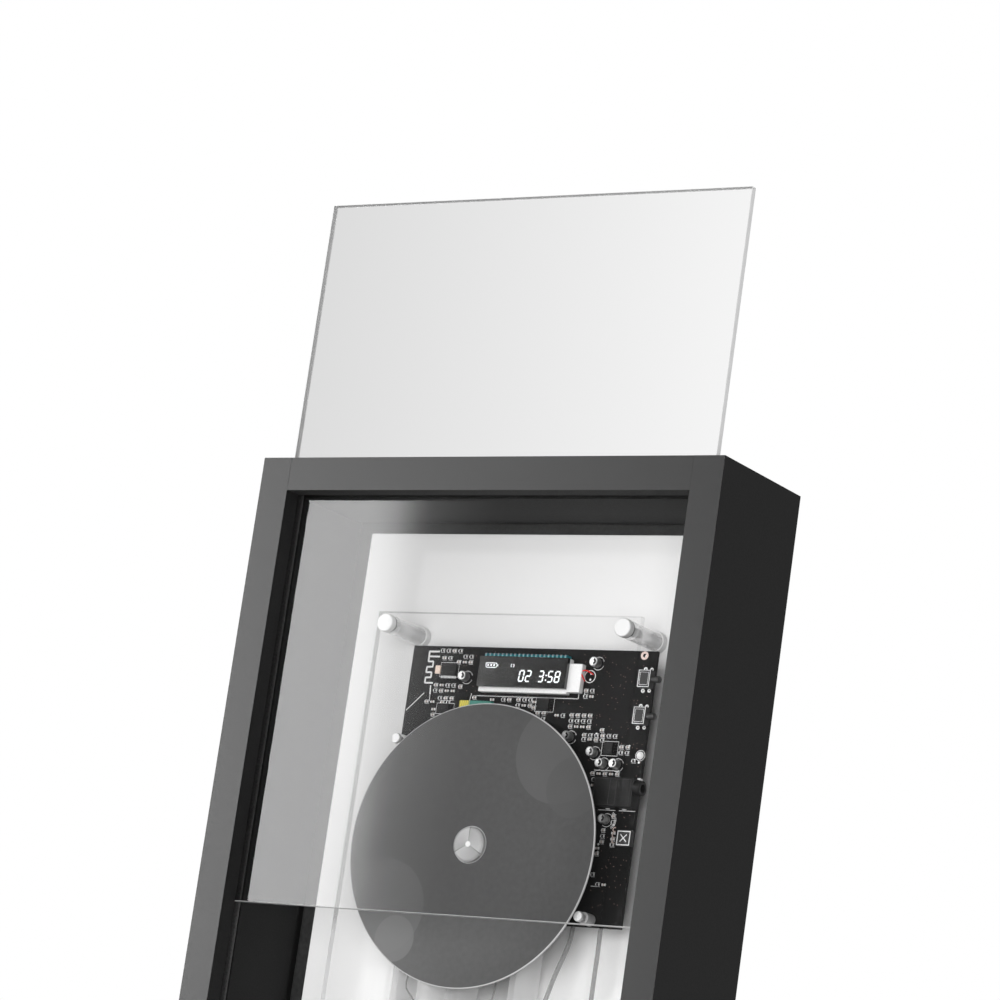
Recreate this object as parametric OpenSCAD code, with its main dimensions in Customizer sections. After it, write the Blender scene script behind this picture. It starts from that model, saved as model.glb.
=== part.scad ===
// Disc player in a wall mounted picture frame.
// A clear pane slides down in front of a disc that spins upright on a clear panel.
// Millimetres. X runs across, Z up from the frame's underside, the front faces -Y.
// Depths are counted from the frame's front face towards the wall.

/* [Frame] */
// Width of the frame
frame_w = 229; // [222:1:260]
// Height of the frame
frame_h = 317; // [312:1:360]
// Depth of the frame, front face to wall
frame_d = 64.5; // [63.5:0.5:80]
// Width of each bar of the frame, seen from the front
bar_w = 14.5; // [13:0.5:16]
// Thickness of the front lip that hides the pane's edge
lip_d = 8.6; // [7:0.2:9]
// Width of the slot and grooves that the pane slides in
slot_w = 5.3; // [4.6:0.1:6]
// How far the grooves reach into the bars
groove_in = 5.5; // [4:0.5:6.5]
// Length of the dowels that join the bars
dowel_l = 24; // [18:1:25]
// Radius of the dowels in the deep bars
dowel_r = 3; // [2:0.25:3.5]
// Radius of the dowels in the front lip of the top bar
lip_dowel_r = 1.75; // [1:0.25:2.5]

/* [Back] */
// Thickness of the board that closes the back
board_t = 3; // [2.5:0.5:5]
// How far the back board sits inside the frame's rear face
board_recess = 1.6; // [1.4:0.1:3]
// How far the rebate for the back board reaches into the bars
rebate_in = 7.5; // [6.5:0.5:8.5]
// Thickness of the pale card behind the player
card_t = 1.5; // [1:0.25:2]
// Gap between the card and the bars at the sides
card_side_gap = 6; // [3:0.5:10]
// Gap between the card and the bars above and below
card_end_gap = 4.1; // [2:0.1:8]
// Step in the bars that shades the card's edge
shade_step = 1; // [0.5:0.25:2]
// How far in front of the card that step starts
shade_run = 3.4; // [2:0.2:6]
// Distance between the two keyholes
keyhole_spacing = 80; // [70:1:81]
// Height of the keyholes' centres below the frame's top
keyhole_drop = 47; // [40:1:80]
// Radius of each keyhole's entry, for a screw's head
keyhole_r = 4.25; // [3.5:0.25:5]
// Thickness of the keyhole plates
keyhole_t = 1.2; // [0.8:0.1:1.3]

/* [Pane] */
// Thickness of the sliding pane
pane_t = 3; // [2:0.25:4]
// How far the pane is raised from its closed place
pane_raise = 116.8; // [0:0.1:160]
// Clearance between the pane and the lip, and between the pane and its guides
pane_gap = 0.1; // [0.05:0.01:0.2]
// Clearance between the pane's edges and the ends of the grooves
pane_side_gap = 0.3; // [0.1:0.1:1]

/* [Clear panel] */
// Width of the clear panel that carries the player
panel_w = 131; // [128:0.5:150]
// Height of the clear panel
panel_h = 198; // [196:1:220]
// Thickness of the clear panel
panel_t = 3; // [2:0.25:4]
// Distance of the standoffs from the panel's side edges
standoff_in_x = 6.2; // [5:0.1:9]
// Distance of the standoffs from the panel's top and bottom edges
standoff_in_z = 5.5; // [5:0.1:9]
// Radius of the clear standoff rods and their caps
standoff_r = 4; // [3.5:0.25:5]
// Length of the clear standoff rods
rod_l = 19.7; // [19:0.1:26]
// Thickness of the metal ring under each rod
ring_t = 3.2; // [2:0.1:4]
// Thickness of each cap
cap_t = 3.2; // [2.5:0.1:4]
// Thickness of the dark washer under each cap
washer_t = 0.6; // [0.3:0.1:1]

/* [Disc drive] */
// Radius of the disc
disc_r = 60; // [59:0.5:60]
// Thickness of the disc
disc_t = 1.2; // [1:0.1:1.5]
// Radius of the disc's centre hole
disc_hole_r = 7.5; // [7:0.1:8]
// Space between the disc and the clear panel
disc_gap = 1.9; // [1.7:0.1:3]
// Radial clearance between the hub and the disc
hub_gap = 0.1; // [0.05:0.01:0.2]
// How far the hub stands proud of the disc
hub_proud = 1.8; // [1.2:0.1:2.5]
// Radius of the turntable
turntable_r = 14.5; // [13:0.25:16]
// Thickness of the rubber mat on the turntable
mat_t = 0.5; // [0.3:0.1:0.8]
// Space between the clear panel and the drive's plate
plate_gap = 2; // [1.5:0.1:3]
// Thickness of the drive's plate
plate_t = 2; // [1.5:0.1:2.5]
// Radius of the spindle motor
motor_r = 12; // [10:0.5:12.5]
// Length of the spindle motor
motor_l = 12; // [9:0.5:12.5]
// Radius of the laser lens's distance from the spindle as photographed
lens_at = 30; // [26:0.5:34]
// Distance of the guide rods from the spindle's level
guide_at = 18; // [18:0.25:19]
// Radius of the guide rods and of the lead screw
guide_r = 1.5; // [1.25:0.05:1.6]
// Distance of the lead screw below the spindle's level
screw_at = 25.5; // [25.25:0.25:26]
// Radial clearance of running fits
run_gap = 0.05; // [0.02:0.01:0.09]

/* [Circuit board] */
// Width of the circuit board
board_w = 121.2; // [116:0.2:121.2]
// Height of the circuit board
board_h = 115.6; // [114:0.2:118]
// Thickness of the circuit board
pcb_t = 1.6; // [1:0.2:2]
// Space between the clear panel and the circuit board
pcb_gap = 6; // [6:0.1:6.6]
// Height of the circuit board's top edge above the spindle
pcb_rise = 86.4; // [84.5:0.1:87.5]
// Place of the circuit board's right edge, right of the spindle
pcb_right = 70.2; // [69:0.2:72]
// Length of each push button beyond the board's edge
button_proud = 4; // [2.5:0.25:5]
// Radius of each push button
button_r = 1.4; // [1:0.1:1.5]
// Radius of the headphone socket's bore
phone_r = 1.8; // [1.76:0.01:1.9]

/* [Sound and power] */
// Outer width of each clear speaker chamber
chamber_w = 30.4; // [29:0.2:32]
// Height of each speaker chamber
chamber_h = 59; // [57:0.5:59.5]
// Depth of each speaker chamber
chamber_d = 18; // [15:0.5:20]
// Wall of the speaker chambers
chamber_wall = 3; // [2:0.25:3]
// Place of the face between the two chambers, left of the spindle
chamber_off = 2.8; // [0:0.1:5]
// Radius of each speaker's flange
speaker_r = 14; // [13.5:0.1:14.5]
// Space between each speaker's basket and the floor of its chamber
speaker_lift = 1.3; // [0.5:0.1:3]
// Place of the power socket, right of the spindle
socket_x = 50; // [30:1:52]
// Radius of the leads to the speakers and to the power socket
lead_r = 1; // [0.6:0.1:1.2]

// Width of the battery
battery_w = 36; // [30:1:40]
// Height of the battery
battery_h = 50; // [40:1:60]
// Thickness of the battery
battery_t = 8; // [5:0.5:9]

/* [Hidden] */
$fn = 64;
eps = 0.01;
fit = 0.1;            // gap around screws, pins and seated pieces
glue = 0.02;          // hairline between faces that only touch

// Frame, from its driving sizes
open_x = frame_w / 2 - bar_w;                 // half width of the opening
open_top = frame_h - bar_w;
slot_end = lip_d + slot_w;
board_back = frame_d - board_recess;
board_front = board_back - board_t;
card_front = board_front - card_t;
shade_from = card_front - shade_run;
dowel_depths = [(slot_end + frame_d) / 2 - 13, (slot_end + frame_d) / 2 + 8];
dowel_z = bar_w / 2;

// Pane
pane_front = lip_d + pane_gap;
pane_back = pane_front + pane_t;
groove_x = open_x + groove_in;
groove_z = bar_w - groove_in;
pane_half = groove_x - pane_side_gap;
pane_h = frame_h - groove_z;

// Clear panel and its standoffs
spindle_z = frame_h / 2;
panel_back = card_front - ring_t - rod_l;
panel_front = panel_back - panel_t;
panel_top = spindle_z + panel_h / 2;
panel_foot = spindle_z - panel_h / 2;
standoff_x = panel_w / 2 - standoff_in_x;
standoff_spots = [for (x = [-standoff_x, standoff_x], z = [panel_foot + standoff_in_z,
    panel_top - standoff_in_z]) [x, z]];
stud_r = 1.95;
stud_l = 6;           // length of the stud inside the rod
cap_front = panel_front - washer_t - cap_t;

// Screws
screw_r = 1.5;
screw_head_r = 2.8;
screw_head_h = 1.3;
standoff_screw_l = 13;
back_screw_l = 12;
small_screw_r = 1.25;
small_head_r = 2.3;
small_head_h = 1.3;
plate_screw_r = 1.2;
plate_head_r = 2.2;
plate_screw_l = 3.8;
back_screw_inset = (shade_step + rebate_in) / 2;
back_screw_x = open_x + back_screw_inset;
back_screw_rows = [30, frame_h / 2 - 42, frame_h / 2 + 42, frame_h - 30];
back_screw_columns = [-75, 0, 75];
back_screw_spots = concat(
    [for (side = [-1, 1], z = back_screw_rows) [side * back_screw_x, z]],
    [for (x = back_screw_columns, z = [bar_w - back_screw_inset, open_top + back_screw_inset]) [x, z]]);

// Keyholes
keyhole_w = 30;
keyhole_h = 44;
keyhole_slot_r = 2.25;
keyhole_rise = 11;
window_w = 16;
window_h = 26;
keyhole_z = frame_h - keyhole_drop;
keyhole_hole_spots = [for (x = [-11, 11], z = [-17, 17]) [x, z]];

// Disc drive
disc_back = panel_front - disc_gap;
disc_front = disc_back - disc_t;
mat_back = disc_back + mat_t;
turntable_t = 1.8;
turntable_back = mat_back + turntable_t;
hub_r = disc_hole_r - hub_gap;
hub_front = disc_front - hub_proud;
shaft_r = 1;
plate_front = panel_back + plate_gap;
plate_back = plate_front + plate_t;
motor_boss_r = 3;
drive_depth = plate_back + 4.5;               // axis of the guide rods and the lead screw
sled_front = plate_back + 0.3;
sled_back = sled_front + 10.4;
sled_reach = [-8, 9];                         // sled's ends either side of the lens
lens_x = -lens_at;
lens_outer = -56;                             // lens's centre at the rim of the disc's data
lens_inner = -24;
bush_half = 3;
bush_r = 3.2;
nut_reach = [3, 9];
nut_r = 3;
rod_ends = [-61.2, -5];
rod_block = 2;                                // thickness of the blocks that hold the rods
screw_ends = [-54, 2];
pin_l = 2.4;
sled_motor_r = 4.4;
sled_motor_l = 16;
lens_slot_z = 6.5;
opening_r = turntable_r + 2.5;
mech_spots = [[-38, -32], [14, -34], [-42, 25], [14, 25]];
boss_r = 3.2;
boss_h = 2.5;
catch_r = hub_r + hub_gap / 2;
catch_w = 2.4;
catch_in = 5;
catch_t = 1.2;
catch_front = hub_front + 0.9;
catch_angles = [90, 210, 330];

// Circuit board
pcb_front = panel_back + pcb_gap;
pcb_back = pcb_front + pcb_t;
pcb_top = spindle_z + pcb_rise;
pcb_foot = pcb_top - board_h;
pcb_left = pcb_right - board_w;
pcb_arm = 34.2;                               // width of the board beside the drive
pcb_band = 47.9;                              // height of the board above the drive
spacer_spots = [[pcb_right - 14.7, pcb_foot + 2.8], [pcb_left + 4.5, pcb_top - 42.4],
    [pcb_right - 42.2, pcb_top - 43.9]];
spacer_r = 2.5;
board_hole_r = 1.35;
corner_hole = [pcb_right - 6.1, pcb_top - 1.9];
corner_hole_r = 0.8;
switch_w = 5.8;
switch_h = 7.4;
switch_t = 3.5;
button_depth = pcb_front - 1.75;
button_travel = 0.5;
power_z = pcb_top - 12.2;
pair_z = pcb_top - 27.7;
phone_z = pcb_top - 58;
phone_depth = pcb_front - 2.8;
phone_l = 15.5;

// Speakers and power
basket_r = 11.2;
cone_r = 10.4;
chamber_top = spindle_z - 38.5;
chamber_foot = chamber_top - chamber_h;
chamber_right = chamber_w - chamber_off;
speaker_xs = [-chamber_off - chamber_w / 2, -chamber_off + chamber_w / 2];
speaker_z = chamber_foot + chamber_wall + basket_r + speaker_lift;
socket_r = 4;
socket_hole_r = 2.75;
socket_low = 0.4;
socket_top = bar_w + 2.5;
plug_l = 9.5;
battery_right = pcb_right - 9;
battery_foot = pcb_foot + 7;

// Leads. Each route is a list of [across, up]: 0 is the far end, 1 the board's lower edge.
lead_depth = pcb_back + lead_r + fit;
lead_hole_z = chamber_foot + 23;
speaker_lead_x = pcb_right - 24.1;
speaker_route = [[0.99, 1.07], [1, 1], [0.98, 0.91], [0.94, 0.83], [0.87, 0.74], [0.79, 0.65],
    [0.71, 0.56], [0.63, 0.45], [0.56, 0.35], [0.48, 0.23], [0.37, 0.12], [0.22, 0.03], [0.09, 0],
    [-0.1, 0]];
power_lead_x = pcb_right - 10.9;
power_route = [[1, 1.03], [1, 1], [1.02, 0.92], [1.01, 0.83], [1, 0.73], [0.9, 0.64], [0.67, 0.56],
    [0.42, 0.49], [0.27, 0.42], [0.17, 0.34], [0.08, 0.24], [0.02, 0.14], [0, 0.06], [0, 0]];
// The thin lead that links the speakers: across in chamber halves, 0 up is a basket's top
link_depth = panel_back + 3;
link_r = 0.35;
link_foot = speaker_z + basket_r + fit;
link_up = 0.8;
link_route = [[-1.21, 0], [-1.33, 0.18], [-1.62, 0.33], [-1.62, 0.5], [-1.55, 0.66], [-1.29, 0.77],
    [-0.87, link_up], [-0.2, link_up], [0.2, link_up], [0.71, link_up], [1.04, 0.75], [1.24, 0.6],
    [1.24, 0.35], [1.14, 0.13], [1.1, 0]];

module block(x, d, z) {
    translate([x[0], d[0] - frame_d / 2, z[0]]) cube([x[1] - x[0], d[1] - d[0], z[1] - z[0]]);
}

// A round bar along the depth, from depth d[0] to d[1]
module along_depth(x, z, d, r, r_end = 0) {
    translate([x, d[0] - frame_d / 2, z]) rotate([-90, 0, 0])
        cylinder(r1 = r, r2 = r_end > 0 ? r_end : r, h = d[1] - d[0]);
}

// A round bar across the frame, from x[0] to x[1]
module along_x(x, d, z, r) {
    translate([x[0], d - frame_d / 2, z]) rotate([0, 90, 0]) cylinder(r = r, h = x[1] - x[0]);
}

// A shape drawn seen from the front, as X and Z, between two depths
module seen_from_front(d) {
    translate([0, d[1] - frame_d / 2, 0]) rotate([90, 0, 0]) linear_extrude(d[1] - d[0]) children();
}

// A countersunk screw that is driven from behind, its head flush at depth d
module flat_screw(x, z, d, length, r, head_r, head_h) {
    along_depth(x, z, [d - length, d - head_h + eps], r);
    along_depth(x, z, [d - head_h, d], r, head_r);
}

module flat_screw_hole(x, z, d, through, r, head_r, head_h) {
    along_depth(x, z, [d - through, d + eps], r + fit);
    along_depth(x, z, [d - head_h - fit, d + eps], r + fit, head_r + fit);
}

module dowel_holes(side) {
    x = side > 0 ? [open_x - dowel_l / 2 - fit, open_x + dowel_l / 2 + fit]
        : [-open_x - dowel_l / 2 - fit, -open_x + dowel_l / 2 + fit];
    for (z = [dowel_z, frame_h - dowel_z], d = dowel_depths) along_x(x, d, z, dowel_r + fit / 2);
    along_x(x, lip_d / 2, frame_h - dowel_z, lip_dowel_r + fit / 2);
}

module corner_dowels() {
    color("burlywood") for (side = [-1, 1]) {
        x = [side * open_x - dowel_l / 2, side * open_x + dowel_l / 2];
        for (z = [dowel_z, frame_h - dowel_z], d = dowel_depths) along_x(x, d, z, dowel_r);
        along_x(x, lip_d / 2, frame_h - dowel_z, lip_dowel_r);
    }
}

module back_screw_holes() {
    for (spot = back_screw_spots)
        along_depth(spot[0], spot[1], [board_back - back_screw_l - 1, board_front + eps], screw_r + fit / 2);
}

// Room behind the opening: the shading step round the card, then the rebate for the back board
module rear_steps() {
    block([-open_x - shade_step, open_x + shade_step], [shade_from, frame_d + 1],
        [bar_w - shade_step, open_top + shade_step]);
    block([-open_x - rebate_in, open_x + rebate_in], [board_front, frame_d + 1],
        [bar_w - rebate_in, open_top + rebate_in]);
}

module side_rail(side) {
    outer = side * frame_w / 2;
    inner = side * open_x;
    groove = side * groove_x;
    color("#2b2b2b") difference() {
        block([min(outer, inner), max(outer, inner)], [0, frame_d], [0, frame_h]);
        block([min(groove, inner - side), max(groove, inner - side)], [lip_d, slot_end],
            [groove_z, frame_h + 1]);
        rear_steps();
        dowel_holes(side);
        back_screw_holes();
    }
}

module left_rail() { side_rail(-1); }
module right_rail() { side_rail(1); }

module top_rail() {
    color("#2b2b2b") difference() {
        block([-open_x, open_x], [slot_end, frame_d], [open_top, frame_h]);
        rear_steps();
        dowel_holes(-1);
        dowel_holes(1);
        back_screw_holes();
    }
}

module top_lip_rail() {
    color("#2b2b2b") difference() {
        block([-open_x, open_x], [0, lip_d], [open_top, frame_h]);
        dowel_holes(-1);
        dowel_holes(1);
    }
}

module bottom_rail() {
    color("#2b2b2b") difference() {
        block([-open_x, open_x], [0, frame_d], [0, bar_w]);
        block([-open_x - 1, open_x + 1], [lip_d, slot_end], [groove_z, bar_w + 1]);
        rear_steps();
        dowel_holes(-1);
        dowel_holes(1);
        back_screw_holes();
        translate([socket_x, lead_depth - frame_d / 2, -1]) cylinder(r = socket_r + fit, h = bar_w + 2);
        translate([socket_x, lead_depth - frame_d / 2, -1]) cylinder(r = socket_r + 2 + fit, h = 3.5);
    }
}

module guide_strips() {
    color("#1a1a1a") for (side = [-1, 1]) {
        edge = [side * (open_x + 0.5), side * groove_x];
        block([min(edge), max(edge)], [pane_back + pane_gap, slot_end], [groove_z, frame_h - 1]);
    }
}

module front_pane() {
    foot = groove_z + pane_raise;
    color([0.9, 0.92, 0.92, 0.35])
        block([-pane_half, pane_half], [pane_front, pane_back], [foot, foot + pane_h]);
}

module backing_card() {
    color("white") difference() {
        block([-open_x + card_side_gap, open_x - card_side_gap], [card_front, board_front],
            [bar_w + card_end_gap, open_top - card_end_gap]);
        for (spot = standoff_spots)
            along_depth(spot[0], spot[1], [card_front - 1, board_front + 1], screw_r + fit);
    }
}

module back_panel() {
    edge = rebate_in - 0.3;
    color("#202020") difference() {
        block([-open_x - edge, open_x + edge], [board_front, board_back],
            [bar_w - edge, open_top + edge]);
        for (side = [-1, 1]) {
            x = side * keyhole_spacing / 2;
            block([x - window_w / 2, x + window_w / 2], [board_front - 1, board_back + 1],
                [keyhole_z - window_h / 2 + 3, keyhole_z + window_h / 2 + 3]);
            for (spot = keyhole_hole_spots)
                along_depth(x + spot[0], keyhole_z + spot[1], [board_front - 1, board_back + 1],
                    plate_screw_r + fit);
        }
        for (spot = concat(back_screw_spots, standoff_spots))
            flat_screw_hole(spot[0], spot[1], board_back, board_t + 1, screw_r, screw_head_r, screw_head_h);
    }
}

module back_panel_screws() {
    color("silver") for (spot = back_screw_spots)
        flat_screw(spot[0], spot[1], board_back, back_screw_l, screw_r, screw_head_r, screw_head_h);
}

module keyhole_plates() {
    color("silver") for (side = [-1, 1]) {
        x = side * keyhole_spacing / 2;
        z = keyhole_z;
        difference() {
            block([x - keyhole_w / 2, x + keyhole_w / 2], [board_back, board_back + keyhole_t],
                [z - keyhole_h / 2, z + keyhole_h / 2]);
            along_depth(x, z, [board_back - 1, frame_d + 1], keyhole_r);
            along_depth(x, z + keyhole_rise, [board_back - 1, frame_d + 1], keyhole_slot_r);
            block([x - keyhole_slot_r, x + keyhole_slot_r], [board_back - 1, frame_d + 1],
                [z, z + keyhole_rise]);
            for (spot = keyhole_hole_spots)
                flat_screw_hole(x + spot[0], z + spot[1], board_back + keyhole_t, keyhole_t + 1,
                    plate_screw_r, plate_head_r, keyhole_t - 0.2);
        }
    }
}

module keyhole_screws() {
    color("silver") for (side = [-1, 1], spot = keyhole_hole_spots)
        flat_screw(side * keyhole_spacing / 2 + spot[0], keyhole_z + spot[1], board_back + keyhole_t,
            plate_screw_l, plate_screw_r, plate_head_r, keyhole_t - 0.2);
}

module mounting_panel() {
    color([0.85, 0.9, 0.9, 0.35]) difference() {
        block([-panel_w / 2, panel_w / 2], [panel_front, panel_back], [panel_foot, panel_top]);
        for (spot = standoff_spots)
            along_depth(spot[0], spot[1], [panel_front - 1, panel_back + 1], stud_r + fit);
        for (spot = mech_spots)
            along_depth(spot[0], spindle_z + spot[1], [panel_front - 1, panel_back + 1],
                small_screw_r + fit);
        for (spot = spacer_spots)
            along_depth(spot[0], spot[1], [panel_front - 1, panel_back + 1], small_screw_r + fit);
        along_depth(0, spindle_z, [panel_front - 1, panel_back + 1], opening_r);
        block([lens_outer - 5, 0], [panel_front - 1, panel_back + 1],
            [spindle_z - lens_slot_z, spindle_z + lens_slot_z]);
        for (x = speaker_xs)
            along_depth(x, speaker_z, [panel_front - 1, panel_back + 1], basket_r + fit);
    }
}

module standoff_rods() {
    color([0.85, 0.88, 0.88, 0.5]) for (spot = standoff_spots) difference() {
        along_depth(spot[0], spot[1], [panel_back, panel_back + rod_l], standoff_r);
        along_depth(spot[0], spot[1], [panel_back - 1, panel_back + stud_l + 0.5], stud_r + fit / 2);
        along_depth(spot[0], spot[1], [board_back - standoff_screw_l - 0.5, card_front], screw_r + fit / 2);
    }
}

module standoff_caps() {
    rim = 0.4;
    color("gainsboro") for (spot = standoff_spots) {
        along_depth(spot[0], spot[1], [cap_front, cap_front + rim], standoff_r - rim, standoff_r);
        along_depth(spot[0], spot[1], [cap_front + rim, cap_front + cap_t], standoff_r);
        along_depth(spot[0], spot[1], [cap_front + cap_t - eps, panel_back + stud_l], stud_r);
    }
}

module cap_washers() {
    color("#303030") for (spot = standoff_spots) difference() {
        along_depth(spot[0], spot[1], [panel_front - washer_t, panel_front], standoff_r - 0.1);
        along_depth(spot[0], spot[1], [panel_front - washer_t - 1, panel_front + 1], stud_r + fit);
    }
}

module standoff_base_rings() {
    color("silver") for (spot = standoff_spots) difference() {
        along_depth(spot[0], spot[1], [panel_back + rod_l, card_front], standoff_r + 0.6);
        along_depth(spot[0], spot[1], [panel_back + rod_l - 1, card_front + 1], screw_r + fit);
    }
}

module standoff_screws() {
    color("silver") for (spot = standoff_spots)
        flat_screw(spot[0], spot[1], board_back, standoff_screw_l, screw_r, screw_head_r, screw_head_h);
}

// Outline of the drive's plate, kept in the disc's shadow
module plate_outline() {
    translate([0, spindle_z]) difference() {
        intersection() {
            translate([-65, -37]) square([87, 67]);
            translate([-5.5, 2]) circle(r = disc_r - 1, $fn = 128);
        }
        translate([lens_outer - 5.5, -8]) square([lens_inner - lens_outer + 12, 16]);
        circle(r = motor_boss_r + 0.5);
        for (spot = mech_spots) translate(spot) circle(r = small_screw_r + fit);
    }
}

// A block on the plate's back that holds one end of a rod or screw
module rod_holder(x, z, r, half) {
    difference() {
        block(x, [plate_back - eps, drive_depth + half], [z - half, z + half]);
        along_x([x[0] - 1, x[1] + 1], drive_depth, z, r);
    }
}

module mechanism_plate() {
    color("#3a3a3a") {
        seen_from_front([plate_front, plate_back]) plate_outline();
        for (side = [-1, 1]) {
            z = spindle_z + side * guide_at;
            rod_holder([rod_ends[0], rod_ends[0] + rod_block], z, guide_r + glue, 2.8);
            rod_holder([rod_ends[1] - rod_block, rod_ends[1]], z, guide_r + glue, 2.8);
        }
        rod_holder([screw_ends[0] - pin_l - 0.6, screw_ends[0] - 0.2], spindle_z - screw_at,
            shaft_r + run_gap, 2.8);
        for (spot = mech_spots) difference() {
            along_depth(spot[0], spindle_z + spot[1], [plate_back - eps, plate_back + boss_h], boss_r);
            along_depth(spot[0], spindle_z + spot[1], [plate_front, plate_back + boss_h + 1],
                small_screw_r + fit / 2);
        }
    }
}

module damper_rings() {
    color("#111111") for (spot = mech_spots) difference() {
        along_depth(spot[0], spindle_z + spot[1], [panel_back, plate_front], 4);
        along_depth(spot[0], spindle_z + spot[1], [panel_back - 1, plate_front + 1], small_screw_r + fit);
    }
}

// A pan head screw that is driven from the front, its head resting at depth d
module pan_screw(x, z, d, length) {
    along_depth(x, z, [d - small_head_h, d], small_head_r - 0.3, small_head_r);
    along_depth(x, z, [d - eps, d + length], small_screw_r);
}

module mechanism_screws() {
    color("silver") for (spot = mech_spots)
        pan_screw(spot[0], spindle_z + spot[1], panel_front, panel_t + plate_gap + plate_t + boss_h);
}

module spindle_motor() {
    color("silver") difference() {
        union() {
            along_depth(0, spindle_z, [plate_back, plate_back + motor_l], motor_r);
            along_depth(0, spindle_z, [plate_back - 1, plate_back + eps], motor_boss_r);
        }
        along_depth(0, spindle_z, [plate_back - 2, plate_back + motor_l - 5], shaft_r + run_gap);
    }
}

module turntable() {
    color("#222222") difference() {
        union() {
            along_depth(0, spindle_z, [mat_back, turntable_back], turntable_r);
            along_depth(0, spindle_z, [turntable_back - eps, plate_front - 0.6], 4.5);
        }
        along_depth(0, spindle_z, [mat_back - 1, plate_front + 1], shaft_r + glue);
    }
}

module spindle_shaft() {
    color("silver")
        along_depth(0, spindle_z, [hub_front + 0.6, plate_back + motor_l - 5.4], shaft_r);
}

module turntable_mat() {
    color("#181818") difference() {
        along_depth(0, spindle_z, [disc_back, mat_back], turntable_r - 0.3);
        along_depth(0, spindle_z, [disc_back - 1, mat_back + 1], hub_r + 2);
    }
}

module centre_hub() {
    dome = 0.5;
    color("gainsboro") difference() {
        union() {
            along_depth(0, spindle_z, [hub_front, hub_front + dome], hub_r - 1.2, hub_r);
            along_depth(0, spindle_z, [hub_front + dome, mat_back], hub_r);
        }
        along_depth(0, spindle_z, [hub_front - 1, mat_back + 1], shaft_r + glue);
        for (turn = catch_angles) translate([0, 0, spindle_z]) rotate([0, -turn, 0])
            block([catch_in - 0.8, hub_r + 2], [catch_front - fit, catch_front + catch_t + fit],
                [-catch_w / 2 - fit, catch_w / 2 + fit]);
    }
}

// A sprung catch in the hub, its round end against the disc's hole
module hub_catch(turn) {
    color("whitesmoke") intersection() {
        translate([0, 0, spindle_z]) rotate([0, -turn, 0])
            block([catch_in, hub_r + 2], [catch_front, catch_front + catch_t], [-catch_w / 2, catch_w / 2]);
        along_depth(0, spindle_z, [hub_front, mat_back], catch_r);
    }
}

module hub_catch_1() { hub_catch(catch_angles[0]); }
module hub_catch_2() { hub_catch(catch_angles[1]); }
module hub_catch_3() { hub_catch(catch_angles[2]); }

module disc() {
    color("#5a5a5a") difference() {
        translate([0, disc_back - frame_d / 2, spindle_z]) rotate([90, 0, 0])
            cylinder(r = disc_r, h = disc_t, $fn = 180);
        along_depth(0, spindle_z, [disc_front - 1, disc_back + 1], disc_hole_r);
    }
}

module pickup_sled() {
    bush_z = [spindle_z - guide_at, spindle_z + guide_at];
    nut_z = spindle_z - screw_at;
    color("#303236") difference() {
        union() {
            block([lens_x + sled_reach[0], lens_x + sled_reach[1]], [sled_front, sled_back],
                [bush_z[0] + 3, bush_z[1] - 3]);
            block([lens_x - 5, lens_x + 5], [panel_back + 1.5, sled_front + eps],
                [spindle_z - 6, spindle_z + 6]);
            for (z = bush_z) along_x([lens_x - bush_half, lens_x + bush_half], drive_depth, z, bush_r);
            along_x([lens_x + nut_reach[0], lens_x + nut_reach[1]], drive_depth, nut_z, nut_r);
            block([lens_x + nut_reach[0], lens_x + nut_reach[1]], [drive_depth + 2, drive_depth + 4.5],
                [nut_z + 1, bush_z[0] + 4]);
        }
        for (z = bush_z) along_x([lens_x - 20, lens_x + 20], drive_depth, z, guide_r + run_gap);
        along_x([lens_x - 20, lens_x + 20], drive_depth, nut_z, guide_r + run_gap);
    }
}

module objective_lens() {
    holder = [panel_back - 1.3, panel_back + 0.7];
    color("#8090b0") {
        block([lens_x - 4, lens_x + 4], holder, [spindle_z - 4.5, spindle_z + 4.5]);
        along_depth(lens_x, spindle_z, [holder[0] - 1, holder[0] + eps], 2.2);
    }
}

module guide_rods() {
    color("silver") for (side = [-1, 1])
        along_x(rod_ends, drive_depth, spindle_z + side * guide_at, guide_r);
}

module lead_screw() {
    z = spindle_z - screw_at;
    color("silver") {
        along_x(screw_ends, drive_depth, z, guide_r);
        along_x([screw_ends[0] - pin_l, screw_ends[0] + eps], drive_depth, z, shaft_r);
        along_x([screw_ends[1] - eps, screw_ends[1] + 6], drive_depth, z, shaft_r);
    }
}

module sled_motor() {
    z = spindle_z - screw_at;
    start = screw_ends[1] + 0.3;
    color("silver") difference() {
        union() {
            along_x([start, start + sled_motor_l], drive_depth, z, sled_motor_r);
            block([start, start + 1.5], [plate_back, drive_depth], [z - 4, z + 4]);
        }
        along_x([start - 1, screw_ends[1] + 6.5], drive_depth, z, shaft_r + run_gap);
    }
}

module circuit_board() {
    color("#222222") difference() {
        union() {
            block([pcb_left, pcb_right], [pcb_front, pcb_back], [pcb_top - pcb_band, pcb_top]);
            block([pcb_right - pcb_arm, pcb_right], [pcb_front, pcb_back],
                [pcb_foot, pcb_top - pcb_band + eps]);
        }
        for (spot = spacer_spots)
            along_depth(spot[0], spot[1], [pcb_front - 1, pcb_back + 1], board_hole_r);
        along_depth(corner_hole[0], corner_hole[1], [pcb_front - 1, pcb_back + 1], corner_hole_r);
    }
}

module board_spacers() {
    color("silver") for (spot = spacer_spots) difference() {
        along_depth(spot[0], spot[1], [panel_back, pcb_front], spacer_r);
        along_depth(spot[0], spot[1], [panel_back - 1, pcb_front + 1], small_screw_r + fit / 2);
    }
}

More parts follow.
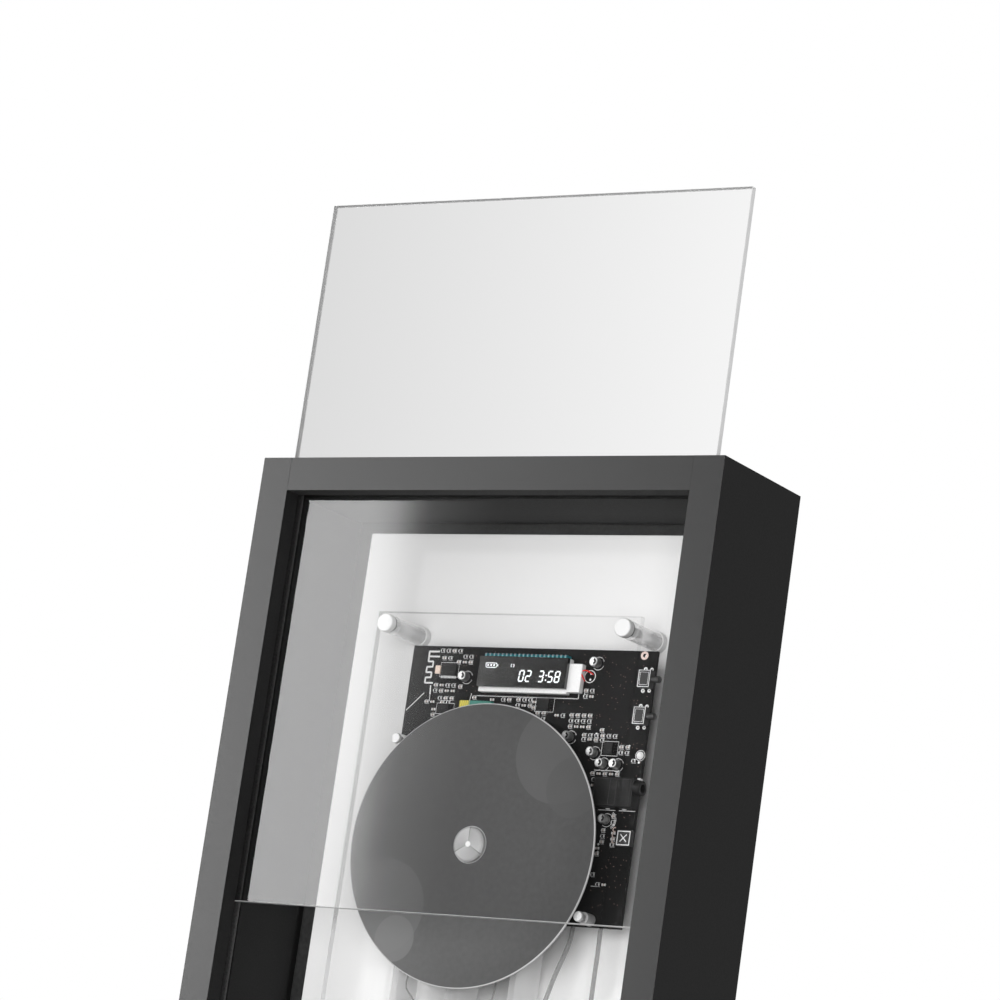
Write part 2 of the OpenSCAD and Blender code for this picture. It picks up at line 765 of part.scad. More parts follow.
module board_screws() {
    rear_l = pcb_t + 2.4;
    color("silver") for (spot = spacer_spots) {
        pan_screw(spot[0], spot[1], panel_front, panel_t + 2.6);
        along_depth(spot[0], spot[1], [pcb_back, pcb_back + small_head_h], small_head_r, small_head_r - 0.3);
        along_depth(spot[0], spot[1], [pcb_back - rear_l, pcb_back + eps], small_screw_r);
    }
}

// The display: white light box, glass on top of it, and a row of clip pins above
display_left = pcb_right - 83.6;
display_right = display_left + 43.8;
display_z = [pcb_top - 17.9, pcb_top - 4.7];
light_t = 3;
glass_t = 2;

module display_backlight() {
    color("white") {
        block([display_left, display_right + glue], [pcb_front - light_t, pcb_front],
            [display_z[0] - 1.8, display_z[1]]);
        block([display_right, display_right + 6.2], [pcb_front - light_t, pcb_front],
            [display_z[0] - 1, display_z[1] - 2]);
    }
}

module display_glass() {
    color("#101418") block([display_left, display_right],
        [pcb_front - light_t - glass_t, pcb_front - light_t], display_z);
}

module display_pins() {
    pins = 20;
    pitch = 2.08;
    color("teal") for (i = [0 : pins - 1]) {
        x = display_left + 1.6 + i * pitch;
        block([x, x + 1.2], [pcb_front - light_t - 1, pcb_front], [display_z[1], display_z[1] + 1.4]);
    }
}

module switch_body(z) {
    difference() {
        block([pcb_right - switch_w, pcb_right], [pcb_front - switch_t, pcb_front],
            [z - switch_h / 2, z + switch_h / 2]);
        along_x([pcb_right - 2.2, pcb_right + 1], button_depth, z, button_r + run_gap);
    }
}

module switch_bodies() {
    color("#3c3c3c") for (z = [power_z, pair_z]) switch_body(z);
}

module button(z) {
    color("#1c1c1c")
        along_x([pcb_right - 2.2 + button_travel + 0.1, pcb_right + button_proud], button_depth, z, button_r);
}

module power_button() { button(power_z); }
module pair_button() { button(pair_z); }

module headphone_socket() {
    barrel = 3;
    mouth = pcb_right + 3.3;
    color("#1c1c1c") difference() {
        union() {
            block([pcb_right - 18.7, pcb_right + 0.3], [pcb_front - 5.7, pcb_front],
                [phone_z - 8.4, phone_z + 3.8]);
            along_x([pcb_right + 0.3 - eps, mouth], phone_depth, phone_z, barrel);
        }
        along_x([mouth - phone_l, mouth + 1], phone_depth, phone_z, phone_r);
    }
}

module infrared_receiver() {
    z = pcb_top - 78.6;
    color("#4a4644") block([pcb_right - 6.4, pcb_right + 0.6], [pcb_front - 2.5, pcb_front],
        [z - 3.4, z + 3.4]);
}

// A small chip with a row of legs on its left and right
module legged_chip(x, z, w, h, t, legs) {
    block([x - w / 2, x + w / 2], [pcb_front - t, pcb_front - 0.1], [z - h / 2, z + h / 2]);
    for (i = [0 : legs - 1], side = [-1, 1]) {
        leg_z = z - h / 2 + (i + 0.5) * h / legs;
        leg_x = x + side * (w / 2 + 0.5);
        block([leg_x - 0.55, leg_x + 0.55], [pcb_front - 0.6, pcb_front], [leg_z - 0.2, leg_z + 0.2]);
    }
}

module board_chips() {
    radio = [pcb_right - 101.4, pcb_top - 10.2];
    radio_half = [3.7, 2.6];
    color("#18181a") {
        block([radio[0] - radio_half[0], radio[0] + radio_half[0]], [pcb_front - 0.9, pcb_front],
            [radio[1] - radio_half[1], radio[1] + radio_half[1]]);
        legged_chip(pcb_right - 16.7, pcb_top - 41.4, 3.9, 5, 1.5, 4);
        legged_chip(pcb_right - 51.3, pcb_top - 24, 5.2, 4.9, 1.5, 4);
        legged_chip(pcb_right - 100.8, pcb_top - 27, 5, 3.6, 1.4, 4);
        legged_chip(pcb_right - 60.5, pcb_top - 36.5, 6, 6, 1.5, 8);
    }
}

// Upright capacitors, from the board's top right corner
can_r = 2.1;
can_h = 4.5;
can_spots = [[-27.8, -5.8], [-23.7, -43.6], [-18.7, -48.1], [-11.9, -48.2], [-13.5, -71.2],
    [-92, -13.3], [-36.4, -37.3]];

module board_capacitors() {
    color("silver") for (spot = can_spots)
        along_depth(pcb_right + spot[0], pcb_top + spot[1], [pcb_front - can_h, pcb_front], can_r);
}

// Groups of small parts: left, top, columns, rows, each from the board's top right corner
part_groups = [[-106, -2, 4, 1], [-104.6, -5.2, 3, 1], [-97, -4.4, 3, 2], [-107, -17, 4, 2],
    [-94.5, -17.4, 1, 1], [-110.5, -24.3, 2, 1], [-104, -22.6, 3, 1], [-102.5, -24.4, 2, 1],
    [-106.4, -27.5, 1, 3], [-86.6, -21.9, 1, 1], [-77.5, -22.6, 1, 1], [-72, -22.4, 2, 1],
    [-64.4, -22.2, 3, 2], [-56.3, -23, 1, 2], [-54, -27.6, 2, 2], [-44.5, -28.3, 2, 1],
    [-37.2, -28, 4, 3], [-21.5, -33.9, 1, 1], [-29.8, -36.2, 6, 1], [-29.8, -38, 4, 1],
    [-11, -40.6, 2, 2], [-23.2, -52.1, 5, 1], [-22.3, -54.6, 1, 2], [-4.4, -46.2, 1, 1],
    [-31.8, -17.5, 2, 2], [-10.2, -69.5, 1, 2], [-9.2, -76.5, 1, 3], [-14.3, -75.5, 1, 3],
    [-16, -83, 1, 2], [-16.5, -94, 1, 1], [-13.5, -97.9, 2, 1]];

module small_components() {
    size = [1.8, 0.7, 1];
    step = [3, 2.4];
    color("tan") for (group = part_groups, i = [0 : group[2] - 1], k = [0 : group[3] - 1]) {
        x = pcb_right + group[0] + i * step[0];
        z = pcb_top + group[1] - k * step[1];
        block([x - size[0] / 2, x + size[0] / 2], [pcb_front - size[1], pcb_front],
            [z - size[2] / 2, z + size[2] / 2]);
    }
    color("darkorange") block([pcb_right - 108.2, pcb_right - 105.6], [pcb_front - 1, pcb_front],
        [pcb_top - 12.2, pcb_top - 8.6]);
    color("gainsboro") along_depth(pcb_right - 1.7, pcb_top - 43.8, [pcb_front - 1.2, pcb_front], 1.6);
}

// The flat ribbon between board and drive, and the socket at each of its ends
ribbon_x = [pcb_right - 90.4, pcb_right - 78.4];
board_socket_z = [pcb_top - 27.4, pcb_top - 23.6];
drive_socket_z = [spindle_z + 22, spindle_z + 26.5];

module ribbon_connectors() {
    color("ivory") {
        block([ribbon_x[0] - 2, ribbon_x[1] + 2], [pcb_front - 2.5, pcb_front], board_socket_z);
        block([ribbon_x[0] - 1, ribbon_x[1] + 1], [plate_back, plate_back + 2.5], drive_socket_z);
    }
}

module mechanism_ribbon() {
    d = [pcb_front - 1.2, plate_back + 0.8];
    t = 0.25;
    z = [board_socket_z[0], pcb_top - pcb_band - 2, drive_socket_z[1]];
    color("gold") translate([ribbon_x[0], -frame_d / 2, 0]) rotate([90, 0, 90])
        linear_extrude(ribbon_x[1] - ribbon_x[0])
            polygon([[d[0], z[0]], [d[0], z[1] + 3], [d[1], z[1] - 1], [d[1], z[2]],
                [d[1] + t, z[2]], [d[1] + t, z[1] - 1 + t / 2], [d[0] + t, z[1] + 3 + t / 2],
                [d[0] + t, z[0]]]);
}

module battery() {
    color("lightsteelblue") block([battery_right - battery_w, battery_right],
        [card_front - battery_t, card_front], [battery_foot, battery_foot + battery_h]);
}

module speaker_chambers() {
    color([0.85, 0.9, 0.9, 0.35]) for (x = speaker_xs) difference() {
        block([x - chamber_w / 2 + glue, x + chamber_w / 2 - glue], [panel_back, panel_back + chamber_d],
            [chamber_foot, chamber_top]);
        block([x - chamber_w / 2 + chamber_wall, x + chamber_w / 2 - chamber_wall],
            [panel_back - 1, panel_back + chamber_d - chamber_wall],
            [chamber_foot + chamber_wall, chamber_top - chamber_wall]);
        along_x([chamber_right - chamber_wall - 1, chamber_right + 1], lead_depth, lead_hole_z,
            lead_r + fit);
        along_x([-chamber_off - chamber_wall - 1, -chamber_off + chamber_wall + 1], link_depth,
            route_z(link_up, link_foot, chamber_top), link_r + fit);
    }
}

// Steel frame of a speaker: flange on the panel, basket through it, and a magnet
module speaker_frame(x) {
    difference() {
        union() {
            along_depth(x, speaker_z, [panel_front - 1.5, panel_front], speaker_r);
            along_depth(x, speaker_z, [panel_front - eps, panel_front + 8], basket_r);
            along_depth(x, speaker_z, [panel_front + 8 - eps, panel_front + 12], 7.5);
        }
        along_depth(x, speaker_z, [panel_front - 2, panel_front + 7], cone_r);
    }
}

module speaker_frames() {
    color("#2a2a2a") for (x = speaker_xs) speaker_frame(x);
}

module cone(x) {
    travel = 0.5;
    front = panel_front - 1;
    color("#404040") translate([x, front - frame_d / 2, speaker_z]) rotate([-90, 0, 0])
        rotate_extrude() polygon([[0, 4.6], [3, 4.6], [cone_r - 2, 1], [cone_r - fit, 1],
            [cone_r - fit, 1.4], [cone_r - 1.8, 1.4], [3.2, 8 - travel - 0.1], [0, 8 - travel - 0.1]]);
}

module left_cone() { cone(speaker_xs[0]); }
module right_cone() { cone(speaker_xs[1]); }

function route_z(up, foot, top) = foot + up * (top - foot);

// A route's [across, up] pairs as points at one depth
function route(pairs, x, z, d) =
    [for (p = pairs) [x[0] + p[0] * (x[1] - x[0]), d - frame_d / 2, route_z(p[1], z[0], z[1])]];

// A smooth curve through the points p, in three steps from each to the next
function curve(p) = concat([for (i = [0 : len(p) - 2], t = [0, 1 / 3, 2 / 3])
    let (a = p[max(i - 1, 0)], b = p[i], c = p[i + 1], d = p[min(i + 2, len(p) - 1)])
    (2 * b + (c - a) * t + (2 * a - 5 * b + 4 * c - d) * t * t
        + (3 * b - a - 3 * c + d) * t * t * t) / 2], [p[len(p) - 1]]);

// Points of a circle round point p, square to the direction t
function unit(v) = v / norm(v);
function direction(path, i) =
    unit(path[min(i + 1, len(path) - 1)] - path[max(i - 1, 0)]);
function ring(p, t, r, sides) =
    let (u = unit(cross(t, [0, 1, 0])), v = cross(t, u))
    [for (k = [0 : sides - 1]) let (a = 360 * k / sides) p + r * (cos(a) * u + sin(a) * v)];

// One closed tube along a path that stays at one depth
module tube(path, r, sides = 8) {
    rings = [for (i = [0 : len(path) - 1]) ring(path[i], direction(path, i), r, sides)];
    last = (len(path) - 1) * sides;
    walls = [for (i = [0 : len(path) - 2], k = [0 : sides - 1]) let (n = (k + 1) % sides)
        [i * sides + k, i * sides + n, (i + 1) * sides + n, (i + 1) * sides + k]];
    triangles = [for (f = walls, half = [[0, 1, 2], [0, 2, 3]]) [for (j = half) f[j]]];
    start = [[for (k = [sides - 1 : -1 : 0]) k]];
    finish = [[for (k = [0 : sides - 1]) last + k]];
    polyhedron(points = [for (one = rings, p = one) p], faces = concat(triangles, start, finish));
}

module board_leads() {
    color("lightgrey") {
        tube(curve(route(speaker_route, [chamber_right, speaker_lead_x], [lead_hole_z, pcb_foot],
            lead_depth)), lead_r);
        tube(curve(route(power_route, [socket_x, power_lead_x], [socket_top + glue, pcb_foot],
            lead_depth)), lead_r);
        tube(curve(route(link_route, [-chamber_off, -chamber_off + chamber_w / 2],
            [link_foot, chamber_top], link_depth)), link_r);
    }
}

module power_socket() {
    flange_t = 2;
    color("#1a1a1a") translate([socket_x, lead_depth - frame_d / 2, 0]) difference() {
        union() {
            translate([0, 0, socket_low]) cylinder(r = socket_r + 2, h = flange_t);
            translate([0, 0, socket_low]) cylinder(r = socket_r, h = socket_top - socket_low);
        }
        translate([0, 0, socket_low - 1]) cylinder(r = socket_hole_r, h = plug_l + 1);
    }
}

left_rail();
right_rail();
top_rail();
top_lip_rail();
bottom_rail();
corner_dowels();
guide_strips();
front_pane();
backing_card();
back_panel();
back_panel_screws();
keyhole_plates();
keyhole_screws();
mounting_panel();
standoff_rods();
standoff_caps();
cap_washers();
standoff_base_rings();
standoff_screws();
mechanism_plate();
damper_rings();
mechanism_screws();
spindle_motor();
turntable();
spindle_shaft();
turntable_mat();
centre_hub();
hub_catch_1();
hub_catch_2();
hub_catch_3();
disc();
pickup_sled();
objective_lens();
guide_rods();
lead_screw();
sled_motor();
circuit_board();
board_spacers();
board_screws();
display_glass();
display_backlight();
display_pins();
switch_bodies();
power_button();
pair_button();
headphone_socket();
infrared_receiver();
board_chips();
board_capacitors();
small_components();
ribbon_connectors();
mechanism_ribbon();
battery();
speaker_chambers();
speaker_frames();
left_cone();
right_cone();
board_leads();
power_socket();
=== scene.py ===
# %% [markdown]
# # A picture-frame CD player, dressed in Blender
#
# The object is a deep black picture frame with a pale card at its back. A clear panel stands off the
# card and carries a disc on a silver hub, with a black circuit board behind it. A clear pane slides in
# grooves in front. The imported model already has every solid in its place, in metres, so this lesson
# loads it first and then dresses it: camera, light, finishes, and finer pieces over the plain ones.

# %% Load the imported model
import math

import bmesh
import bpy
import numpy as np
from mathutils import Matrix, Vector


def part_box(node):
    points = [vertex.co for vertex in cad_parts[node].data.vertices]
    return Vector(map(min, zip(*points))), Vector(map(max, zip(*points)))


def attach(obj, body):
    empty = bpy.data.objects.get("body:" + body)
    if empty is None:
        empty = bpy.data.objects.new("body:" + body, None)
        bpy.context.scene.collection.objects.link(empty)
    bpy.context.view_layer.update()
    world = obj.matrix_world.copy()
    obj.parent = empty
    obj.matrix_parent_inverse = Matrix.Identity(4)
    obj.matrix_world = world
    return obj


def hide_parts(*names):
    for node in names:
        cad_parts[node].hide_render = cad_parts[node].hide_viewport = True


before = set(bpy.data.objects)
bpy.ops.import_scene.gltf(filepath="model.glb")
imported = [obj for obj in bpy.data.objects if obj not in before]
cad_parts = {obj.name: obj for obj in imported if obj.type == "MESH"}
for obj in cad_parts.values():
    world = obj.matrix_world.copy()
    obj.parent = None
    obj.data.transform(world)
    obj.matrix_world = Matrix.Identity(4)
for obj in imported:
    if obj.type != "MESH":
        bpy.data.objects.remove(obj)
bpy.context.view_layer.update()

MM = 0.001
HALF_DEPTH = 32.25

# %% [markdown]
# ## The camera
#
# The view is the photograph's: from the right and a little below, with a long lens. Its place and
# turn were worked out from the straight edges of the frame, so they are written as plain numbers.
# The three columns of the turn are the camera's right, its up and the way it looks, turned round.

# %% Camera
lens_data = bpy.data.cameras.new("photo_view")
lens_data.lens, lens_data.sensor_width = 147.587, 36.0
lens_data.sensor_fit = "HORIZONTAL"
lens_data.clip_start, lens_data.clip_end = 0.05, 20.0
camera = bpy.data.objects.new("photo_view", lens_data)
bpy.context.scene.collection.objects.link(camera)
camera.matrix_world = Matrix((
    (0.83760, -0.00103, 0.54628, 0.93660),
    (0.52782, -0.25619, -0.80980, -1.40615),
    (0.14079, 0.96662, -0.21404, -0.06490),
    (0, 0, 0, 1)))
bpy.context.scene.camera = camera
bpy.context.scene.view_settings.view_transform = "Standard"
print("camera at", tuple(round(v, 3) for v in camera.location))

# %% [markdown]
# ## A surface from two parameters
#
# Nearly every small piece here is a grid of points: one parameter runs along the piece, the other
# goes round it. A screw, a capacitor, a wire and even a rounded chip fit that pattern. Numpy works
# out the whole grid at once, and one helper turns grids into a mesh. Points that meet at a pole or
# a seam are merged afterwards, so every shell is closed.

# %% Skin a grid
def link(mesh, finish, nodes=(), body="case"):
    """Puts a mesh into the scene with its finish, on the body it rides on, and hides the nodes it stands for."""
    piece = bpy.data.objects.new(mesh.name, mesh)
    bpy.context.scene.collection.objects.link(piece)
    mesh.materials.clear()
    mesh.materials.append(finish)
    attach(piece, body)
    if nodes:
        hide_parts(*nodes)
    print(mesh.name, len(mesh.polygons), "faces on", body)
    return piece


def skin(name, grids, finish, nodes=(), ring=False, body="case"):
    """Joins point (i, j) of each grid to (i+1, j), (i+1, j+1) and (i, j+1); j always runs round, i in a ring."""
    corners, quads, start = [], [], 0
    for grid in grids:
        grid = np.asarray(grid, float)
        rows, around = grid.shape[-3:-1]
        grid = grid.reshape(-1, rows, around, 3)
        i = np.arange(rows if ring else rows - 1)[:, None]
        j = np.arange(around)
        nxt, low, high = (j + 1) % around, i * around, ((i + 1) % rows) * around
        quad = np.stack([low + j, low + nxt, high + nxt, high + j], -1).reshape(-1, 4)
        shift = start + rows * around * np.arange(len(grid))
        quads.append((quad + shift[:, None, None]).reshape(-1, 4))
        corners.append(grid.reshape(-1, 3))
        start += len(corners[-1])
    mesh = bpy.data.meshes.new(name)
    mesh.from_pydata((np.concatenate(corners) * MM).tolist(), [], np.concatenate(quads).tolist())
    work = bmesh.new()
    work.from_mesh(mesh)
    bmesh.ops.remove_doubles(work, verts=work.verts, dist=1e-6)
    bmesh.ops.recalc_face_normals(work, faces=work.faces)
    work.to_mesh(mesh)
    work.free()
    mesh.shade_smooth()
    mesh.set_sharp_from_angle(angle=math.radians(38))
    return link(mesh, finish, nodes, body)


# %% [markdown]
# ## Four kinds of grid
#
# Turned parts revolve a profile round an axis. Moulded boxes, chips and blocks are a rounded
# rectangle drawn in towards both ends. Wires follow a path. Printed lines are a flat strip with four
# corners. Each function works on many parts at once where that helps. Lengths are in millimetres, with x
# to the right, y to the back and z up, until `skin` turns them into metres.

# %% Turned, moulded, drawn and printed shapes
def revolve(profile, centres, axis="y", around=40):
    """Radius times cosine and sine of the angle across the axis, the profile's height along it."""
    r, h = np.asarray(profile, float).T
    angle = np.arange(around) / around * math.tau
    side, up, along = r[:, None] * np.cos(angle), r[:, None] * np.sin(angle), h[:, None] + 0 * angle
    order = {"x": (along, side, up), "y": (side, along, up), "z": (side, up, along)}[axis]
    return np.stack(order, -1) + np.atleast_2d(np.asarray(centres, float))[:, None, None, :]


def block(lo, hi, edge=0.2, axis="y", steps=2):
    """A box whose outline shrinks by edge*(1 - cos b) towards each end, b a quarter turn."""
    lo, hi = np.atleast_2d(np.asarray(lo, float)), np.atleast_2d(np.asarray(hi, float))
    middle, half = (lo + hi) / 2, (hi - lo) / 2
    k = "xyz".index(axis)
    a, b = [n for n in range(3) if n != k]
    quarter = np.linspace(0, math.pi / 2, steps + 1)
    turn = np.concatenate([quarter + q * math.pi / 2 for q in range(4)])
    sign_a, sign_b = np.repeat([1, -1, -1, 1], steps + 1), np.repeat([1, 1, -1, -1], steps + 1)
    lean = np.concatenate([quarter - math.pi / 2, quarter])
    end = np.repeat([-1, 1], steps + 1)
    edge = np.broadcast_to(edge, len(lo)).reshape(-1, 1, 1)
    size = half[:, :, None, None]
    pull = edge * np.cos(lean)[:, None]
    grid = np.zeros((len(lo), len(lean) + 2, len(turn), 3))
    grid[:, 1:-1, :, a] = sign_a * (size[:, a] - edge) + pull * np.cos(turn)
    grid[:, 1:-1, :, b] = sign_b * (size[:, b] - edge) + pull * np.sin(turn)
    grid[:, 1:-1, :, k] = end[:, None] * (size[:, k] - edge) + edge * np.sin(lean)[:, None]
    grid[:, 0, :, k], grid[:, -1, :, k] = -half[:, k, None], half[:, k, None]
    return grid + middle[:, None, None, :]


def wire(path, radius, around=10):
    """Circles across a path: the path's point plus radius times cosine and sine of two side ways."""
    path = np.asarray(path, float)
    ahead = np.gradient(path, axis=0)
    ahead /= np.linalg.norm(ahead, axis=1)[:, None]
    flat = np.cross(ahead, np.where(np.abs(ahead[:, 1:2]) > 0.9, [[1.0, 0, 0]], [[0, 1.0, 0]]))
    flat /= np.linalg.norm(flat, axis=1)[:, None]
    other = np.cross(ahead, flat)
    angle = np.arange(around) / around * math.tau
    radius = np.broadcast_to(radius, len(path))[:, None, None]
    across = np.cos(angle)[:, None] * flat[:, None] + np.sin(angle)[:, None] * other[:, None]
    rings = path[:, None] + radius * across
    tips = np.repeat(path[[0, -1], None], around, 1)
    return np.concatenate([tips[:1], rings, tips[1:]])[None]


def strip(path, width, y):
    """A printed line: the path moved half its width to both sides, between two depths y."""
    path = np.asarray(path, float)
    ahead = np.gradient(path, axis=0)
    ahead /= np.linalg.norm(ahead, axis=1)[:, None]
    side = np.stack([-ahead[:, 1], ahead[:, 0]], 1) * width / 2
    left, right = path + side, path - side
    rows = ((left, y[0]), (right, y[0]), (right, y[1]), (left, y[1]))
    grid = np.stack([np.insert(points, 1, depth, axis=1) for points, depth in rows], 1)
    tips = np.repeat(grid[[0, -1]].mean(1)[:, None], 4, 1)
    return np.concatenate([tips[:1], grid, tips[1:]])[None]


def bent(path, radius=0.25, steps=3):
    """A path whose corners become curves: each corner moves towards both neighbours by (1 - t)^2 and t^2."""
    path = np.asarray(path, float)
    before, here, after = path[:-2], path[1:-1], path[2:]
    back, on = before - here, after - here
    back *= np.minimum(radius / np.linalg.norm(back, axis=1), 0.5)[:, None]
    on *= np.minimum(radius / np.linalg.norm(on, axis=1), 0.5)[:, None]
    t = np.linspace(0, 1, steps)[:, None]
    curve = here[:, None] + back[:, None] * (1 - t) ** 2 + on[:, None] * t ** 2
    return np.concatenate([path[:1], curve.reshape(-1, path.shape[1]), path[-1:]])


# %% [markdown]
# ## Reading the plain solids
#
# Many nodes hold several equal parts, such as all the screws of one kind. Their places are read from
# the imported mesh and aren't typed in again: triangles that share a corner belong to one part, and
# each part's box says where it is. Other nodes have the right shape and only need their sharp corners
# softened. For those a copy is merged, its flat faces are joined, and a Bevel modifier rounds it.

# %% Parts of a node and softened copies
def parts(node):
    """Boxes of a node's parts, in mm: each corner takes its triangles' lowest label until all agree."""
    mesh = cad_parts[node].data
    points = np.empty(len(mesh.vertices) * 3)
    mesh.vertices.foreach_get("co", points)
    spots, same = np.unique(np.round(points.reshape(-1, 3) / MM, 3), axis=0, return_inverse=True)
    mesh.calc_loop_triangles()
    index = np.empty(len(mesh.loop_triangles) * 3, int)
    mesh.loop_triangles.foreach_get("vertices", index)
    corners = same.ravel()[index].reshape(-1, 3)
    label, before = np.arange(len(spots)), None
    while before is None or (label != before).any():
        before = label.copy()
        np.minimum.at(label, corners.ravel(), np.repeat(before[corners].min(1), 3))
    names = np.unique(label)
    boxes = np.array([[spots[label == n].min(0), spots[label == n].max(0)] for n in names])
    print(node, len(boxes), "parts")
    return boxes[:, 0], boxes[:, 1]


def front_middles(lo, hi):
    """The middle of each box, at its front."""
    return np.stack([(lo + hi)[:, 0] / 2, lo[:, 1], (lo + hi)[:, 2] / 2], 1)


def softened(node, finish, width=0.3, segments=2, rim=None, body="case"):
    """A merged copy of a node, standing for it, with rounded edges and a rim finish on sideways faces."""
    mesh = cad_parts[node].data.copy()
    mesh.name = "soft_" + node
    work = bmesh.new()
    work.from_mesh(mesh)
    bmesh.ops.remove_doubles(work, verts=work.verts, dist=2e-6)
    bmesh.ops.dissolve_limit(work, angle_limit=math.radians(0.4), verts=work.verts, edges=work.edges)
    work.to_mesh(mesh)
    work.free()
    mesh.shade_smooth()
    piece = link(mesh, finish, (node,), body=body)
    if width:
        bevel = piece.modifiers.new("rounded_edges", "BEVEL")
        bevel.width, bevel.segments = width * MM, segments
        bevel.limit_method, bevel.angle_limit = "ANGLE", math.radians(35)
        piece.modifiers.new("flat_faces_stay_flat", "WEIGHTED_NORMAL").weight = 100
        if rim:
            bevel.material = 1
            mesh.materials.append(rim)
            normals = np.empty(len(mesh.polygons) * 3)
            mesh.polygons.foreach_get("normal", normals)
            sideways = np.abs(normals.reshape(-1, 3)[:, 1]) < 0.5
            mesh.polygons.foreach_set("material_index", sideways.astype(int))
    else:
        mesh.set_sharp_from_angle(angle=math.radians(30))
    return piece


# %% [markdown]
# ## Finishes
#
# A real finish is never one flat colour. Paint has a fine orange-peel, plastic is speckled, metal is
# turned or brushed. One recipe covers most of them: a fine noise in the object's own millimetres
# shifts the colour and roughness a little and lifts the surface through a Bump node. Stretching the
# noise along one axis turns speckle into brushing.

# %% The common recipe
class Finish:
    """A Principled material whose nodes are added one by one."""

    def __init__(self, name, **sockets):
        self.material = bpy.data.materials.new(name)
        self.material.use_nodes = True
        self.tree = self.material.node_tree
        self.shader = self.tree.nodes["Principled BSDF"]
        self.output = self.tree.nodes["Material Output"]
        self.place = self.add("ShaderNodeTexCoord").outputs["Object"]
        for socket, value in sockets.items():
            self.shader.inputs[socket.replace("_", " ")].default_value = value

    def add(self, kind, inputs=None, **settings):
        """A new node; an input gets a link where its value is a socket, and else the value itself."""
        node = self.tree.nodes.new(kind)
        for key, value in settings.items():
            setattr(node, key, value)
        for key, value in (inputs or {}).items():
            if isinstance(value, bpy.types.NodeSocket):
                self.tree.links.new(value, node.inputs[key])
            else:
                node.inputs[key].default_value = value
        return node

    def axis(self, letter):
        return self.add("ShaderNodeSeparateXYZ", {0: self.place}).outputs[letter]

    def math(self, operation, *values):
        return self.add("ShaderNodeMath", dict(enumerate(values)), operation=operation).outputs[0]

    def vector(self, scale=(1, 1, 1), move=(0, 0, 0)):
        inputs = {"Vector": self.place, "Scale": scale, "Location": move}
        return self.add("ShaderNodeMapping", inputs).outputs[0]

    def noise(self, scale, detail=3.0, stretch=(1, 1, 1)):
        inputs = {"Vector": self.vector(stretch), "Scale": scale, "Detail": detail}
        return self.add("ShaderNodeTexNoise", inputs).outputs[0]

    def blend(self, share, first, second):
        return self.add("ShaderNodeMix", {0: share, 6: first, 7: second}, data_type="RGBA").outputs[2]

    def span(self, value, low, high, start=0.0, end=1.0, smooth=False):
        """Low at start to high at end, level beyond both."""
        inputs = {"Value": value, "From Min": start, "From Max": end, "To Min": low, "To Max": high}
        kind = "SMOOTHSTEP" if smooth else "LINEAR"
        return self.add("ShaderNodeMapRange", inputs, interpolation_type=kind).outputs[0]

    def feed(self, socket, value):
        self.tree.links.new(value, self.shader.inputs[socket])

    def bump(self, height, strength, distance):
        inputs = {"Height": height, "Strength": strength, "Distance": distance * MM}
        self.feed("Normal", self.add("ShaderNodeBump", inputs).outputs[0])

    def follow(self, pattern, first, second, rough, edges=None, lift=None):
        """Colour from first to second between two levels of a pattern, roughness over all of it, then a bump."""
        share = self.span(pattern, 0, 1, *edges) if edges else pattern
        self.feed("Base Color", self.blend(share, first, second))
        self.feed("Roughness", self.span(pattern, *rough))
        if lift:
            self.bump(pattern, *lift)
        return self.material


def grey(level, warm=0.0):
    """A near grey: warm adds to red and takes from blue."""
    return (level * (1 + warm), level, level * (1 - warm), 1)


def plain(name, colour, rough, metal=0.0, speckle=0.15, grain=2500, lift=0.2, deep=0.02, wander=0.06,
          stretch=(1, 1, 1), **sockets):
    """Colour and roughness shift with one noise of grain cells to the metre, and a finer one is the bump."""
    finish = Finish(name, Metallic=metal, **sockets)
    cells = finish.noise(grain, stretch=stretch)
    dark, light = (tuple(min(c * k, 1) for c in colour[:3]) + (1,) for k in (1 - speckle, 1 + speckle))
    finish.feed("Base Color", finish.blend(finish.span(cells, 0, 1, 0.3, 0.7), dark, light))
    finish.feed("Roughness", finish.span(cells, rough - wander, rough + wander, 0.3, 0.7))
    finish.bump(finish.noise(grain * 2.3, 2.0, stretch), lift, deep)
    return finish


def common(name, colour, rough, metal=0.0, **options):
    return plain(name, colour, rough, metal, **options).material


# %% The frame's paint
# Inside the box the paint is rougher, so that its walls stay dark beside the pale card. Each row is a
# way out of the box, with the places where outside is 0 and 1.
paint = plain("satin_black_frame", grey(0.007), 0.42, speckle=0.1, grain=1400, deep=0.03,
              Specular_IOR_Level=0.52)
outside = 0.0
for way_out, inner, outer in ((paint.math("ABSOLUTE", paint.axis("X")), 0.1001, 0.1004),
                              (paint.axis("Y"), -0.0318, -0.0322),
                              (paint.axis("Z"), 0.3026, 0.3029), (paint.axis("Z"), 0.0144, 0.0141)):
    outside = paint.math("MAXIMUM", outside, paint.span(way_out, 0, 1, inner, outer))
orange_peel = paint.span(paint.noise(1400), 0.36, 0.48, 0.3, 0.7)
paint.feed("Roughness", paint.math("ADD", orange_peel, paint.span(outside, 0.45, 0.0)))
BLACK_PAINT = paint.material
print("paint of", len(paint.tree.nodes), "nodes")

